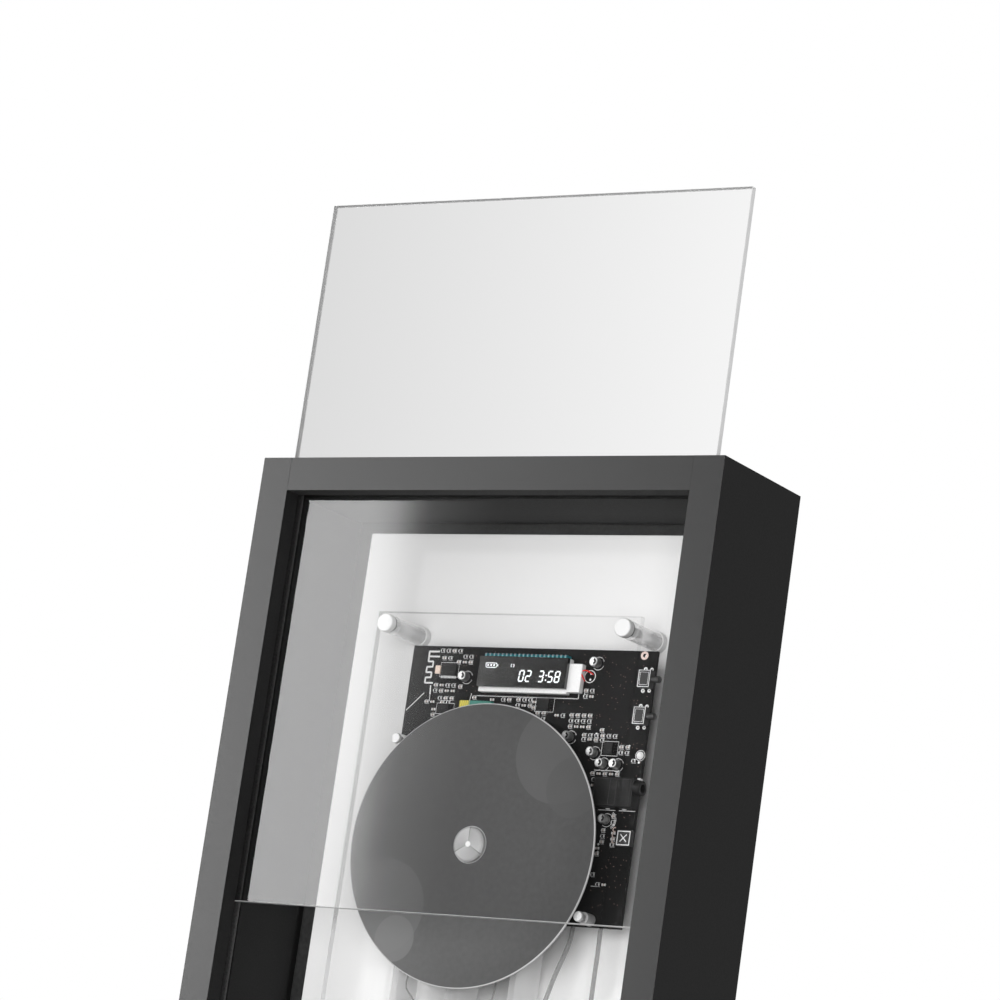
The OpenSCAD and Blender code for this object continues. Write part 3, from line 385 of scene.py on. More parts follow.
# %% Plain finishes, by what they are
DULL = {"Specular_IOR_Level": 0.15}
CARD = common("pale_card", grey(0.86, 0.002), 0.75, speckle=0.015, grain=2200, lift=0.12, deep=0.03)
HARDBOARD = common("black_hardboard", grey(0.03), 0.6, speckle=0.3, grain=700, lift=0.4, deep=0.1)
STEEL = common("bright_steel", grey(0.62), 0.3, 1.0, speckle=0.1, grain=1500, lift=0.1)
SCREW_STEEL = common("zinc_screw", grey(0.55, 0.02), 0.34, 1.0, lift=0.15, deep=0.03)
CAP_METAL = common("satin_cap", grey(0.74), 0.36, 0.1, speckle=0.05, grain=2000, lift=0.1,
                   Specular_IOR_Level=0.3)
RUBBER = common("black_rubber", grey(0.02), 0.7, speckle=0.2, grain=1200, lift=0.3, deep=0.05)
BLACK_PLASTIC = common("black_drive_plastic", grey(0.03), 0.45, grain=1300, lift=0.35, deep=0.04)
DARK_METAL = common("dark_zinc_sled", grey(0.12), 0.45, 0.6, speckle=0.2, grain=900, lift=0.3, deep=0.05)
HUB_SILVER = common("silver_hub_plastic", grey(0.5), 0.34, 0.1, speckle=0.04, grain=1500, lift=0.1)
CHIP = common("black_chip", grey(0.02), 0.5, speckle=0.25, grain=3000, lift=0.25, **DULL)
CHIP_GREY = common("grey_chip", grey(0.05), 0.4, grain=3000, **DULL)
SOLDER = common("tinned_metal", grey(0.86), 0.34, 0.35, lift=0.3, deep=0.03)
PLATED = common("plated_hole", (0.26, 0.17, 0.15, 1), 0.4, 0.2, speckle=0.3, lift=0.1)
COPPER = common("bare_copper", (0.66, 0.53, 0.48, 1), 0.35, 0.4)
CERAMIC = common("tan_ceramic", (0.4, 0.35, 0.32, 1), 0.5, speckle=0.2, grain=4000)
AMBER = common("amber_crystal", (0.82, 0.66, 0.55, 1), 0.35)
PRINT = common("white_board_print", grey(0.8), 0.6, speckle=0.12, grain=3500)
WHITE_PLASTIC = common("white_light_box", grey(0.85), 0.45, speckle=0.03, grain=1800, lift=0.1)
TEAL = common("teal_pins", (0.01, 0.2, 0.24, 1), 0.35, speckle=0.3, grain=2600, deep=0.03)
PINK_METAL = common("pinkish_bead", (0.5, 0.44, 0.46, 1), 0.35, 0.3, speckle=0.2, grain=2600)
TEAL_METAL = common("teal_bead", (0.3, 0.75, 0.78, 1), 0.3, 0.2, speckle=0.25, grain=2600)
CAN = common("capacitor_can", grey(0.6), 0.35, 0.85, speckle=0.08, grain=2200, lift=0.1)
CAPACITOR_BASE = common("capacitor_base", grey(0.02), 0.45, speckle=0.2, grain=2200, deep=0.03, **DULL)
BUTTON = common("black_button", grey(0.03), 0.38, speckle=0.12, grain=1800, lift=0.15, deep=0.03)
JACK = common("dark_jack_plastic", grey(0.014), 0.42, grain=1800, deep=0.03, **DULL)
RED_WIRE = common("red_wire", (0.75, 0.02, 0.015, 1), 0.35, speckle=0.08, lift=0.1)
PAPER = common("black_cone_paper", grey(0.035), 0.8, speckle=0.35, grain=1600, lift=0.6, deep=0.08)
SPEAKER_STEEL = common("black_speaker_steel", grey(0.05), 0.45, 0.5, grain=1300, deep=0.04)
BRIGHT_BOSS = common("bright_boss", grey(0.6), 0.34, 0.3, speckle=0.08, grain=1800, lift=0.15)
MOTOR = common("motor_can", grey(0.6, 0.01), 0.35, 1.0, speckle=0.08, grain=600, lift=0.1,
               stretch=(6, 6, 0.4))
print(len(bpy.data.materials), "finishes so far")

# %% [markdown]
# ## Clear plastics
#
# The pane, the panel, the rods and the speaker chambers are clear acrylic. A true glass shader would
# bend what is seen through it and stop the lamps, which makes noise and dark veils. A thin sheet hardly
# bends anything, so each clear piece is a see-through surface with a tint and a mirror on top. The
# mirror's share follows Fresnel, and it is doubled on the side that faces the eye, for the sheet's two
# faces. A little white scatter makes an edge or a thick wall look milky, as acrylic does.

# %% Clear acrylic
bpy.context.scene.cycles.transparent_max_bounces = 32


def acrylic(name, tint, index=1.3, milk=0.0, rough=0.03, fade=None, foot=None):
    """Tinted passage mixed with white by milk, then with a mirror by twice Fresnel on faces towards us.
    fade is a second tint, reached at the right edge of the frame's opening. foot is the two heights
    between which the milk comes in downwards, and then it is at the left only."""
    clear = Finish(name, Metallic=1.0)
    clear.feed("Base Color", clear.blend(clear.noise(60), grey(0.97), grey(1.0)))
    clear.feed("Roughness", clear.span(clear.noise(60, 2.0), rough, rough + 0.02))
    tinted = grey(tint)
    if fade:
        # With a fade, the tint runs from the first value at the left to fade at the right, so the left is darker:
        # painted shade.
        tinted = clear.blend(clear.span(clear.axis("X"), 0, 1, -0.105, 0.105), tinted, grey(fade))
    passage = clear.add("ShaderNodeBsdfTransparent", {"Color": tinted}).outputs[0]
    if milk:
        share = milk
        # Here the milk is a painted highlight: it comes in below the foot's heights and only at the left.
        if foot:
            share = clear.math("MULTIPLY", clear.span(clear.axis("X"), milk, 0, -0.06, 0.06),
                               clear.span(clear.axis("Z"), 1, 0, *foot))
        scatter = clear.add("ShaderNodeBsdfDiffuse", {"Color": grey(0.95)}).outputs[0]
        passage = clear.add("ShaderNodeMixShader", {0: share, 1: passage, 2: scatter}).outputs[0]
    fresnel = clear.add("ShaderNodeFresnel", {"IOR": index}).outputs[0]
    hidden = clear.add("ShaderNodeNewGeometry").outputs["Backfacing"]
    sides = clear.math("SUBTRACT", 2.0, clear.math("MULTIPLY", hidden, 2.0))
    mirror = {0: clear.math("MULTIPLY", fresnel, sides), 1: passage, 2: clear.shader.outputs[0]}
    clear.tree.links.new(clear.add("ShaderNodeMixShader", mirror).outputs[0], clear.output.inputs["Surface"])
    return clear.material


# The pane is tinted 0.862 at the left and 0.967 at the right: painted shade, darker at the left, on all that is
# seen through it.
PANE = acrylic("clear_pane", 0.862, 1.3, fade=0.967)
PANEL = acrylic("clear_panel", 0.99, 1.03)
# The panel's rim is darker at the left, which is painted shade, and milky low on the left, which is a painted
# highlight.
PANEL_EDGE = acrylic("panel_edge_painted_shade_and_highlight", 0.5, 1.03, milk=0.9, fade=1.0, foot=(0.118, 0.128))
ROD = acrylic("clear_rod", 0.99, 1.25, milk=0.3)
CHAMBER = acrylic("clear_chamber", 0.955, 1.06)
CHAMBER_EDGE = acrylic("milky_chamber_edge", 0.99, 1.05, milk=0.65)
LEAD = acrylic("clear_lead_sleeve", 0.62, 1.3, milk=0.12, rough=0.1)

# A sawn edge is polished less than a face, so it scatters light and shows as a pale band.
sawn = Finish("sawn_pane_edge", Transmission_Weight=0.35, IOR=1.49)
SAWN = sawn.follow(sawn.noise(900, 3.0, (0.2, 3, 0.2)), grey(0.5), grey(0.62), (0.3, 0.45), (0.3, 0.7))
print("clear:", [m.name for m in (PANE, PANEL, PANEL_EDGE, ROD, CHAMBER, CHAMBER_EDGE, LEAD, SAWN)])

# %% [markdown]
# ## Finishes that follow a shape
#
# The hub is turned, and painted shading runs from light to dark across each of its three sectors.
# The disc has fine rings, a bare rim and faint round patches that are painted reflections, the board has
# copper lines under its black lacquer, and felt and wood have fibres. Each reads the distance or the angle
# from its own centre out of Object coordinates, so the pattern turns with the piece.

# %% Hub, disc, board and film
SPINDLE = (0, 0, -158.5 * MM)


def around_spindle(finish):
    """Distance from the spindle's axis and the angle round it, from the place across the axis."""
    split = finish.add("ShaderNodeSeparateXYZ", {0: finish.vector(move=SPINDLE)})
    x, z = split.outputs["X"], split.outputs["Z"]
    squares = finish.math("ADD", finish.math("MULTIPLY", x, x), finish.math("MULTIPLY", z, z))
    return finish.math("SQRT", squares), finish.math("ARCTAN2", z, x)


hub = Finish("turned_silver_hub", Metallic=0.1, Specular_IOR_Level=0.3)
radius, angle = around_spindle(hub)
sector = hub.math("FRACT", hub.math("ADD", hub.math("MULTIPLY", angle, 3 / math.tau), 0.25))
seam = hub.span(hub.math("ABSOLUTE", hub.math("SUBTRACT", sector, 0.5)), 0, 0.8, 0.478, 0.49)
rings = hub.math("SINE", hub.math("MULTIPLY", radius, 9000.0))
# Base colour: each sector goes from grey 0.44 to 0.3 round the axis, which is painted shading, and a dark line
# marks each seam.
hub.feed("Base Color", hub.blend(seam, hub.blend(sector, grey(0.44), grey(0.3)), grey(0.12)))
hub.feed("Roughness", hub.span(rings, 0.26, 0.34, -1, 1))
hub.bump(rings, 0.05, 0.02)
HUB = hub.material

record = Finish("dark_disc_print", Specular_IOR_Level=0.15, Coat_Weight=0.03, Coat_Roughness=0.12)
radius, angle = around_spindle(record)
rings = record.math("SINE", record.math("MULTIPLY", radius, 14000.0))
bare = record.math("MAXIMUM", record.span(radius, 0, 1, 0.0594, 0.0596),
                   record.span(radius, 1, 0, 0.0078, 0.008))
print_and_reflections = record.blend(record.span(record.noise(420), 0, 1, 0.3, 0.7), grey(0.062), grey(0.071))
# Painted reflections as faint round patches: across and up from the spindle, radius and grey.
for x, z, reach, level in ((0.0375, 0.0400, 0.0215, 0.092), (0.046, 0.026, 0.013, 0.075),
                           (-0.039, -0.028, 0.0205, 0.092), (-0.031, -0.041, 0.010, 0.112)):
    centre = record.add("ShaderNodeVectorMath", {0: record.vector((1, 0, 1), SPINDLE), 1: (x, 0, z)},
                        operation="DISTANCE")
    painted_reflection = record.span(centre.outputs["Value"], 0.8, 0, reach - 0.0004, reach)
    print_and_reflections = record.blend(painted_reflection, print_and_reflections, grey(level))
record.feed("Base Color", record.blend(bare, print_and_reflections, grey(0.5)))
record.feed("Roughness", record.span(rings, 0.34, 0.4, -1, 1))
record.bump(rings, 0.04, 0.02)
DISC = record.material

lacquer = Finish("black_board_lacquer", Specular_IOR_Level=0.08)
flat = lacquer.add("ShaderNodeCombineXYZ", {0: lacquer.axis("X"), 1: lacquer.axis("Z")}).outputs[0]
copper_lines = {"Vector": flat, "Scale": 420.0, "Mortar Size": 0.012, "Color1": grey(0.008),
                "Color2": grey(0.011), "Mortar": grey(0.02)}
lines = lacquer.add("ShaderNodeTexBrick", copper_lines, offset=0.37, squash=0.6, squash_frequency=3)
lacquer.feed("Base Color", lines.outputs["Color"])
lacquer.feed("Roughness", lacquer.span(lacquer.noise(700), 0.3, 0.42))
lacquer.bump(lines.outputs["Color"], 0.3, 0.03)
BOARD = lacquer.material

film = Finish("ribbon_film", Specular_IOR_Level=0.4)
tracks = film.math("SINE", film.math("MULTIPLY", film.axis("X"), math.tau / MM))
gold, teal = (0.75, 0.62, 0.05, 1), (0.02, 0.24, 0.2, 1)
ground = film.blend(film.span(film.axis("X"), 0, 1, -0.0178, -0.0168), gold, teal)
film.feed("Base Color", film.blend(film.span(tracks, 0, 0.5, -0.2, 0.2), ground, (0.1, 0.16, 0.1, 1)))
film.feed("Roughness", film.span(tracks, 0.3, 0.45, -1, 1))
film.bump(tracks, 0.3, 0.05)
FILM = film.material

# %% Felt, wood, pouch, glass, lit signs and lens
felt = Finish("dark_felt", Specular_IOR_Level=0.2, Sheen_Weight=0.3)
FELT = felt.follow(felt.noise(2600, 5.0, (1, 1, 0.5)), grey(0.012), grey(0.035), (0.85, 1.0), (0.35, 0.65),
                   (0.8, 0.2))

wood = Finish("beech_dowel", Specular_IOR_Level=0.3)
brown, tan = (0.45, 0.27, 0.13, 1), (0.66, 0.45, 0.26, 1)
WOOD = wood.follow(wood.noise(260, 4.0, (0.12, 1, 1)), brown, tan, (0.55, 0.75), (0.35, 0.65), (0.3, 0.08))

wrap = Finish("silver_pouch", Metallic=0.4)
WRAP = wrap.follow(wrap.noise(140, 5.0), grey(0.5), grey(0.68), (0.3, 0.5), (0.3, 0.7), (0.3, 0.3))

glass = Finish("black_display_glass", Specular_IOR_Level=0.5, Coat_Weight=0.6, Coat_Roughness=0.05)
glass.feed("Base Color", glass.blend(glass.noise(500), grey(0.008), grey(0.014)))
glass.feed("Roughness", glass.span(glass.noise(300), 0.12, 0.2))
GLASS = glass.material

glow = Finish("lit_digits", Emission_Strength=0.6, Emission_Color=(0.9, 0.95, 1.0, 1))
GLOW = glow.follow(glow.noise(900), grey(0.75), grey(0.85), (0.5, 0.6))

optic = Finish("blue_green_lens", IOR=1.5, Coat_Weight=1.0, Coat_Roughness=0.03)
OPTIC = optic.follow(optic.noise(800), (0.05, 0.09, 0.2, 1), (0.08, 0.14, 0.26, 1), (0.05, 0.1))
print(len(bpy.data.materials), "finishes")

# %% [markdown]
# ## Soft studio light
#
# In the photograph the light is even, and a window at the left leaves a pale reflection in the pane, on
# the disc and on the frame's left bar, while the right side of the frame stays dark. A large lamp in
# front, a little to the camera's side, gives the plain level, and a small one at the left gives the
# shades an edge. A bright card that only mirrors see stands for the window. It falls off towards the
# right as the reflection does, and far to the left it is dimmer, so that other views aren't dazzled. The
# world is white behind the object, so the background and what is seen through the pane stay white.

# %% World, lamps and the reflected card
world = bpy.data.worlds.new("plain_studio")
bpy.context.scene.world = world
world.use_nodes = True
sky = world.node_tree
sky.nodes.clear()
ray = sky.nodes.new("ShaderNodeLightPath")


def level_of(strength):
    node = sky.nodes.new("ShaderNodeBackground")
    node.inputs["Color"].default_value, node.inputs["Strength"].default_value = (1, 1, 1, 1), strength
    return node.outputs[0]


def choose(share, otherwise, chosen):
    node = sky.nodes.new("ShaderNodeMixShader")
    for number, value in enumerate((share, otherwise, chosen)):
        sky.links.new(value, node.inputs[number])
    return node.outputs[0]


seen = choose(ray.outputs["Is Glossy Ray"], level_of(0.75), level_of(0.2))
seen = choose(ray.outputs["Is Transmission Ray"], seen, level_of(1.0))
seen = choose(ray.outputs["Is Camera Ray"], seen, level_of(1.0))
sky.links.new(seen, sky.nodes.new("ShaderNodeOutputWorld").inputs["Surface"])


def lamp(name, place, size, power):
    """A rectangle of light that looks at the middle of the frame and that mirrors don't see."""
    data = bpy.data.lights.new(name, "AREA")
    data.shape, data.size, data.size_y, data.energy = "RECTANGLE", *size, power
    piece = bpy.data.objects.new(name, data)
    bpy.context.scene.collection.objects.link(piece)
    back = np.array(place) - FRAME_MIDDLE
    back /= np.linalg.norm(back)
    side = np.cross((0, 0, 1), back)
    side /= np.linalg.norm(side)
    turn = np.stack([side, np.cross(back, side), back, place], 1)
    piece.matrix_world = Matrix([*turn.tolist(), (0, 0, 0, 1)])
    piece.visible_glossy = piece.visible_transmission = False


FRAME_MIDDLE = (0, 0, 0.16)
lamp("front_softbox", (0.62, -1.82, 0.02), (1.6, 1.0), 38)
lamp("left_window", (-1.06, -1.63, 0.64), (0.12, 0.12), 6)


def stage(name, mesh, finish):
    """A thing of the studio, which isn't part of the object."""
    piece = bpy.data.objects.new(name, mesh)
    bpy.context.scene.collection.objects.link(piece)
    mesh.materials.append(finish)
    return piece


window_corners = [(-3.2, -0.6), (-0.2, -0.6), (-0.2, 0.70), (-1.34, 0.70), (-1.34, 1.9), (-3.2, 1.9)]
window_mesh = bpy.data.meshes.new("reflected_window")
window_mesh.from_pydata([(x, -1.5, z) for x, z in window_corners], [], [range(len(window_corners))])
window = Finish("window_light")
window.tree.nodes.remove(window.shader)
across = window.axis("X")
falling = window.math("ADD", window.span(across, 7.7, 0, -1.124, -1.06, True),
                      window.span(across, 2.2, 0.1, -1.13, -0.98, True))
falling = window.math("MULTIPLY", falling, window.span(across, 0.16, 1.0, -2.3, -1.6, True))
light = window.add("ShaderNodeEmission", {"Strength": falling})
window.tree.links.new(light.outputs[0], window.output.inputs["Surface"])
window_card = stage("reflected_window", window_mesh, window.material)
for sight in ("camera", "diffuse", "shadow", "transmission", "volume_scatter"):
    setattr(window_card, "visible_" + sight, False)
print("lamps and window card in place")

# %% [markdown]
# ## The floor
#
# The frame stands on a plain pale floor. The photograph's camera looks up from a little under the
# floor's level, so the floor is a round sheet that ends before the camera's view crosses it. Towards
# its rim it turns clear, so that other views show no hard edge.

# %% Floor
ring_r = np.array([0, 250, 500, 640, 760])
floor_points = revolve(np.stack([ring_r, 0 * ring_r - 0.05], 1), (0, 0, 0), "z", 64)[0]
cells = np.arange(4 * 64).reshape(4, 64)
floor_quads = np.stack([cells, np.roll(cells, -1, 1), np.roll(cells, -1, 1) + 64, cells + 64], -1)
floor_mesh = bpy.data.meshes.new("pale_floor")
floor_mesh.from_pydata((floor_points.reshape(-1, 3) * MM).tolist(), [], floor_quads.reshape(-1, 4).tolist())
sheet = Finish("pale_floor", Roughness=0.8)
away = sheet.add("ShaderNodeVectorMath", {0: sheet.place}, operation="LENGTH").outputs["Value"]
sheet.feed("Base Color", sheet.blend(sheet.noise(40), grey(0.78), grey(0.82)))
sheet.feed("Alpha", sheet.span(away, 1, 0, 0.42, 0.74, True))
stage("pale_floor", floor_mesh, sheet.material)
print("floor of", 2 * ring_r[-1], "mm")

# %% [markdown]
# ## The frame, the card and the back
#
# The bars have a satin black paint. Their edges are crisp but not razor sharp, so each bar's copy gets
# a bevel of a third of a millimetre, which catches a thin line of light. The card and the board behind
# it are plain sheets.

# %% Frame, card and back
for node in ("left_rail", "right_rail", "top_rail", "top_lip_rail", "bottom_rail"):
    softened(node, BLACK_PAINT, 0.35)
softened("backing_card", CARD, 0.15, 1)
softened("back_panel", HARDBOARD, 0.2)
softened("keyhole_plates", SCREW_STEEL, 0.15)
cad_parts["corner_dowels"].material_slots[0].material = WOOD
lo, hi = parts("guide_strips")
skin("felt_guides", [block(lo, hi, 0.6, "z", 3)], FELT, ("guide_strips",))

# %% [markdown]
# ## The pane and the panel
#
# Both are sawn and polished acrylic sheets. A narrow bevel at the edges is what makes a clear sheet
# visible at all: it shows as a thin bright or dark line.

# %% Clear sheets, rods and chambers
softened("front_pane", PANE, 0.25, rim=SAWN, body="pane")
softened("mounting_panel", PANEL, 0.2, rim=PANEL_EDGE)
softened("standoff_rods", ROD, 0.2)
softened("speaker_chambers", CHAMBER, 0.25, rim=CHAMBER_EDGE)
softened("standoff_caps", CAP_METAL, 0.15)
softened("cap_washers", RUBBER, 0.1)
softened("standoff_base_rings", CAP_METAL, 0.2)

# %% [markdown]
# ## Screws with crossed recesses
#
# A screw is a profile turned round its axis, but its recess isn't round. On the same grid of radius
# and angle, the points of the head sink where they lie inside a cross, which gives the recess without
# cutting. Heads are domed on the drive, and flush at the back.

# %% Screws
def cross_screws(node, shank, head_h, facing):
    """Turned profile whose head's height drops by the cross's depth where |x| or |z| is under the arm.
    Heads that face the front (-1) are domed, and heads that face the back (1) are flush."""
    lo, hi = parts(node)
    wide, length, _ = (hi - lo)[0]
    head_r, dome = wide / 2, 0.35 * head_h if facing < 0 else 0.0
    share = np.append(np.linspace(0, 0.92, 13), 1.0)
    rows = [(s * head_r, dome * s ** 3) for s in share]
    if facing < 0:
        rows += [(head_r - 0.1, head_h * 0.9), (head_r - 0.3, head_h)]
    rows += [(shank, head_h), (shank, length - shank * 0.7), (shank * 0.4, length), (0, length)]
    grid = revolve(rows, (0, 0, 0), around=48)[0]
    narrow = np.minimum(np.abs(grid[..., 0]), np.abs(grid[..., 2]))
    reach = np.hypot(grid[..., 0], grid[..., 2]) / head_r
    sunk = np.clip((0.19 * head_r - narrow) / (0.09 * head_r), 0, 1) * np.clip((0.66 - reach) / 0.16, 0, 1)
    grid[:len(share), :, 1] += (0.6 * head_h * sunk)[:len(share)]
    grid[..., 1] *= -facing
    place = front_middles(lo, hi)
    if facing > 0:
        place[:, 1] = hi[:, 1]
    return grid[None] + place[:, None, None, :]


for name, node, shank, head_h, facing, finish in (
        ("drive_screws", "mechanism_screws", 1.25, 1.3, -1, SCREW_STEEL),
        ("back_screws", "back_panel_screws", 1.5, 1.3, 1, SCREW_STEEL),
        ("plate_screws", "keyhole_screws", 1.2, 1.0, 1, SCREW_STEEL),
        ("rod_screws", "standoff_screws", 1.5, 1.3, 1, CAP_METAL)):
    skin(name, [cross_screws(node, shank, head_h, facing)], finish, (node,))
softened("board_screws", BRIGHT_BOSS, 0.15)
softened("board_spacers", BRIGHT_BOSS, 0.2)

# %% [markdown]
# ## The drive behind the disc
#
# The plate, the motors, the sled and its rods are machine parts, so their CAD solids keep their form
# and get softened edges. The feed screw has a real thread: its radius falls in a groove that moves
# round the axis by one turn for each pitch.

# %% Drive
softened("mechanism_plate", BLACK_PLASTIC, 0.25)
softened("spindle_motor", MOTOR, 0.5, 3)
softened("sled_motor", MOTOR, 0.4, 3)
softened("guide_rods", STEEL, 0.2)
softened("pickup_sled", DARK_METAL, 0.3, body="pickup")
softened("turntable", BLACK_PLASTIC, 0.3, body="spindle")
softened("turntable_mat", RUBBER, 0.12, body="spindle")
softened("spindle_shaft", STEEL, 0.15, body="spindle")

waist = [(1.35, 0), (3.7, 0), (4.0, 0.3), (4.0, 0.6), (3.3, 0.8), (3.3, 1.2), (4.0, 1.4), (4.0, 1.7), (3.7, 2.0),
         (1.35, 2.0)]
grommets = revolve(waist, front_middles(*parts("damper_rings")))
skin("damper_grommets", [grommets], RUBBER, ("damper_rings",), ring=True)

PITCH, THREAD_START, THREAD_END, SCREW_R = 3.0, -54.0, 2.0, 1.5
SCREW_Y, SCREW_Z = 44.0 - HALF_DEPTH, 133.0
RINGS = 10 * int(THREAD_END - THREAD_START) + 1
along = np.linspace(THREAD_START, THREAD_END, RINGS)[:, None]
angle = np.arange(24) / 24 * math.tau
thread_r = SCREW_R - 0.28 * (0.5 + 0.5 * np.cos(along / PITCH * math.tau - angle)) ** 3
thread = np.stack([along + 0 * angle, SCREW_Y + thread_r * np.cos(angle), SCREW_Z + thread_r * np.sin(angle)], -1)
journals = [revolve([(0, x), (0.9, x), (1.0, x + s * 0.2), (1.0, e)], (0, SCREW_Y, SCREW_Z), "x", 24)[0]
            for x, s, e in ((-56.4, 1, THREAD_START), (8.0, -1, THREAD_END))]
whole = np.concatenate([journals[0], thread, journals[1][::-1]])[None]
skin("threaded_feed_screw", [whole], STEEL, ("lead_screw",), body="feed_screw")

# %% [markdown]
# ## The laser's lens
#
# The lens is a small dome of glass in a black holder. The dome is part of a sphere: its height falls
# with the square of the distance from the middle.

# %% Lens
LENS_X, AXIS_Z = -30.0, 158.5
LENS_FRONT, LENS_R = 33.2 - HALF_DEPTH, 2.2
holder = block((LENS_X - 4, LENS_FRONT + 1.0, AXIS_Z - 4.5), (LENS_X + 4, LENS_FRONT + 3.0, AXIS_Z + 4.5), 0.5)
skin("lens_holder", [holder], BLACK_PLASTIC, body="lens")
r = np.linspace(0, LENS_R, 8)
bulge = np.stack([r, 0.1 + 0.5 * (r / LENS_R) ** 2], 1).tolist() + [(LENS_R, 1.4), (0, 1.4)]
skin("lens_dome", [revolve(bulge, (LENS_X, LENS_FRONT, AXIS_Z))], OPTIC, ("objective_lens",), body="lens")

# %% [markdown]
# ## The hub and the disc
#
# The hub is silver plastic and turned. Painted shading runs from light to dark across the three sectors
# that meet at its catches. A bright hole in the middle, where the shaft's polished end shows, is a white
# cap: a painted glint. The disc has a rounded edge and, on its back, a small step near the hub, the
# stacking ring, which is why its profile isn't just a rectangle.

# %% Hub, catches and disc
softened("centre_hub", HUB, 0.2, 3, body="spindle")
for number, name in enumerate(("top_catch", "left_catch", "right_catch"), 1):
    softened(f"hub_catch_{number}", HUB_SILVER, 0.15, body=name)
hub_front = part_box("centre_hub")[0][1] / MM
# A white cap in the hub's middle: a painted glint for the shaft's polished end.
tip = [(0, -0.25), (0.5, -0.22), (0.95, -0.1), (1.25, 0.02), (1.25, 0.1), (0, 0.1)]
skin("painted_shaft_glint", [revolve(tip, (0, hub_front, AXIS_Z), around=32)], WHITE_PLASTIC,
     body="spindle")
DISC_R, DISC_Y, ROUND = 60, 29.4 - HALF_DEPTH, 0.6
edge = [(DISC_R - ROUND + ROUND * math.cos(a), ROUND - ROUND * math.sin(a))
        for a in np.linspace(math.pi / 2, -math.pi / 2, 9)]
face = [(7.5, 0.15), (7.65, 0.0), (14.0, 0.0), (22.0, 0.0), (40.0, 0.0)]
back = [(40.0, 1.2), (18.3, 1.2), (17.9, 1.2), (17.4, 1.14), (14.0, 1.2), (7.65, 1.2), (7.5, 1.05)]
skin("printed_disc", [revolve(face + edge + back, (0, DISC_Y, AXIS_Z), around=256)], DISC, ("disc",), ring=True,
     body="record_disc")

# %% [markdown]
# ## The board and what it carries
#
# The board is a flat L of glass fibre under black lacquer. Its small parts are blocks with two tinned
# ends, chips with legs, and round capacitors on square bases. They are worked out in batches from the
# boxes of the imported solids, so each stays exactly where the model has it.

# %% Board
softened("circuit_board", BOARD, 0.1, 1)
BOARD_Y = 41.5 - HALF_DEPTH
lo, hi = parts("small_components")
tiny = (hi - lo)[:, 0] < 2.0
body_lo, body_hi = lo[tiny], hi[tiny]
body_hi[:, 1] = BOARD_Y
inner_lo, inner_hi = body_lo + (0.4, 0.03, 0.06), body_hi - (0.4, 0, 0.06)
kinds = (np.arange(len(body_lo)) * 7) % 5
for name, chosen, finish, slot in (("ceramic_bodies", kinds < 3, CERAMIC, "chip_ceramic"),
                                   ("resistor_bodies", kinds >= 3, CHIP, "chip_black")):
    skin(name, [block(inner_lo[chosen], inner_hi[chosen], 0.08, steps=1)], finish)
left_end, right_end = body_hi.copy(), body_lo.copy()
left_end[:, 0], right_end[:, 0] = body_lo[:, 0] + 0.45, body_hi[:, 0] - 0.45
tinned = [block(body_lo, left_end, 0.1, steps=1), block(right_end, body_hi, 0.1, steps=1)]
skin("tinned_ends", tinned, SOLDER, ("small_components",))
crystal = block((-38.0, 8.25, 232.7), (-35.4, BOARD_Y, 236.3), 0.3)
skin("crystal", [crystal], AMBER)
marked = kinds != 2

# %% Capacitors, chips and their legs
can_place = front_middles(*parts("board_capacitors"))
can = [(0, 0.12), (1.3, 0.12), (1.5, 0.0), (1.75, 0.02), (2.0, 0.3), (2.0, 2.9), (1.86, 3.15), (2.0, 3.4),
       (2.0, 3.7), (0, 3.7)]
skin("capacitor_cans", [revolve(can, can_place, around=28)], CAN, ("board_capacitors",))
lid = [(0, 0.0), (1.45, 0.0), (1.62, 0.05), (1.62, 0.14), (0, 0.14)]
skin("capacitor_lids", [revolve(lid, can_place, around=28)], SOLDER)
base, half = can_place + (0, 4.05, 0), (2.1, 0.45, 2.1)
skin("capacitor_bases", [block(base - half, base + half, 0.3)], CAPACITOR_BASE)
half_turn = np.linspace(-math.pi / 2, math.pi / 2, 13)
half_ring = np.stack([0.85 * np.cos(half_turn), 0.85 * np.sin(half_turn)], 1)
stripes = [strip(half_ring + (x + 0.12, z), 0.95, (y - 0.04, y + 0.1)) for x, y, z in can_place]
skin("capacitor_stripes", stripes, CAPACITOR_BASE)

lo, hi = parts("board_chips")
legs = (hi - lo)[:, 0] < 1.2
softened("board_chips", CHIP, 0.12)
RADIO_LEFT, RADIO_FOOT, PINS = -34.9, 232.1, 11
pin_x = np.arange(PINS) * 0.7 + RADIO_LEFT + 0.2
pin = np.stack([pin_x, np.full(PINS, BOARD_Y - 0.3), np.full(PINS, RADIO_FOOT - 1.15)], 1)
pads = [block(pin - (0.17, 0, 0), pin + (0.17, 0.31, 1.15), 0.06, steps=1),
        block(lo[legs] - (0.02, 0.05, 0.02), hi[legs] + (0.02, 0, 0.02), 0.08, steps=1)]
skin("chip_legs", pads, SOLDER)
chips = list(zip(lo[~legs], hi[~legs]))
print("chip legs", int(legs.sum()))

# %% [markdown]
# ## The display
#
# A sheet of dark glass lies on a white light box. The segments are short bars in the pattern that
# every such display uses, so a digit is a choice of seven strips. Only a plain track number and a time
# show, with a battery sign and a small round arrow beside them.

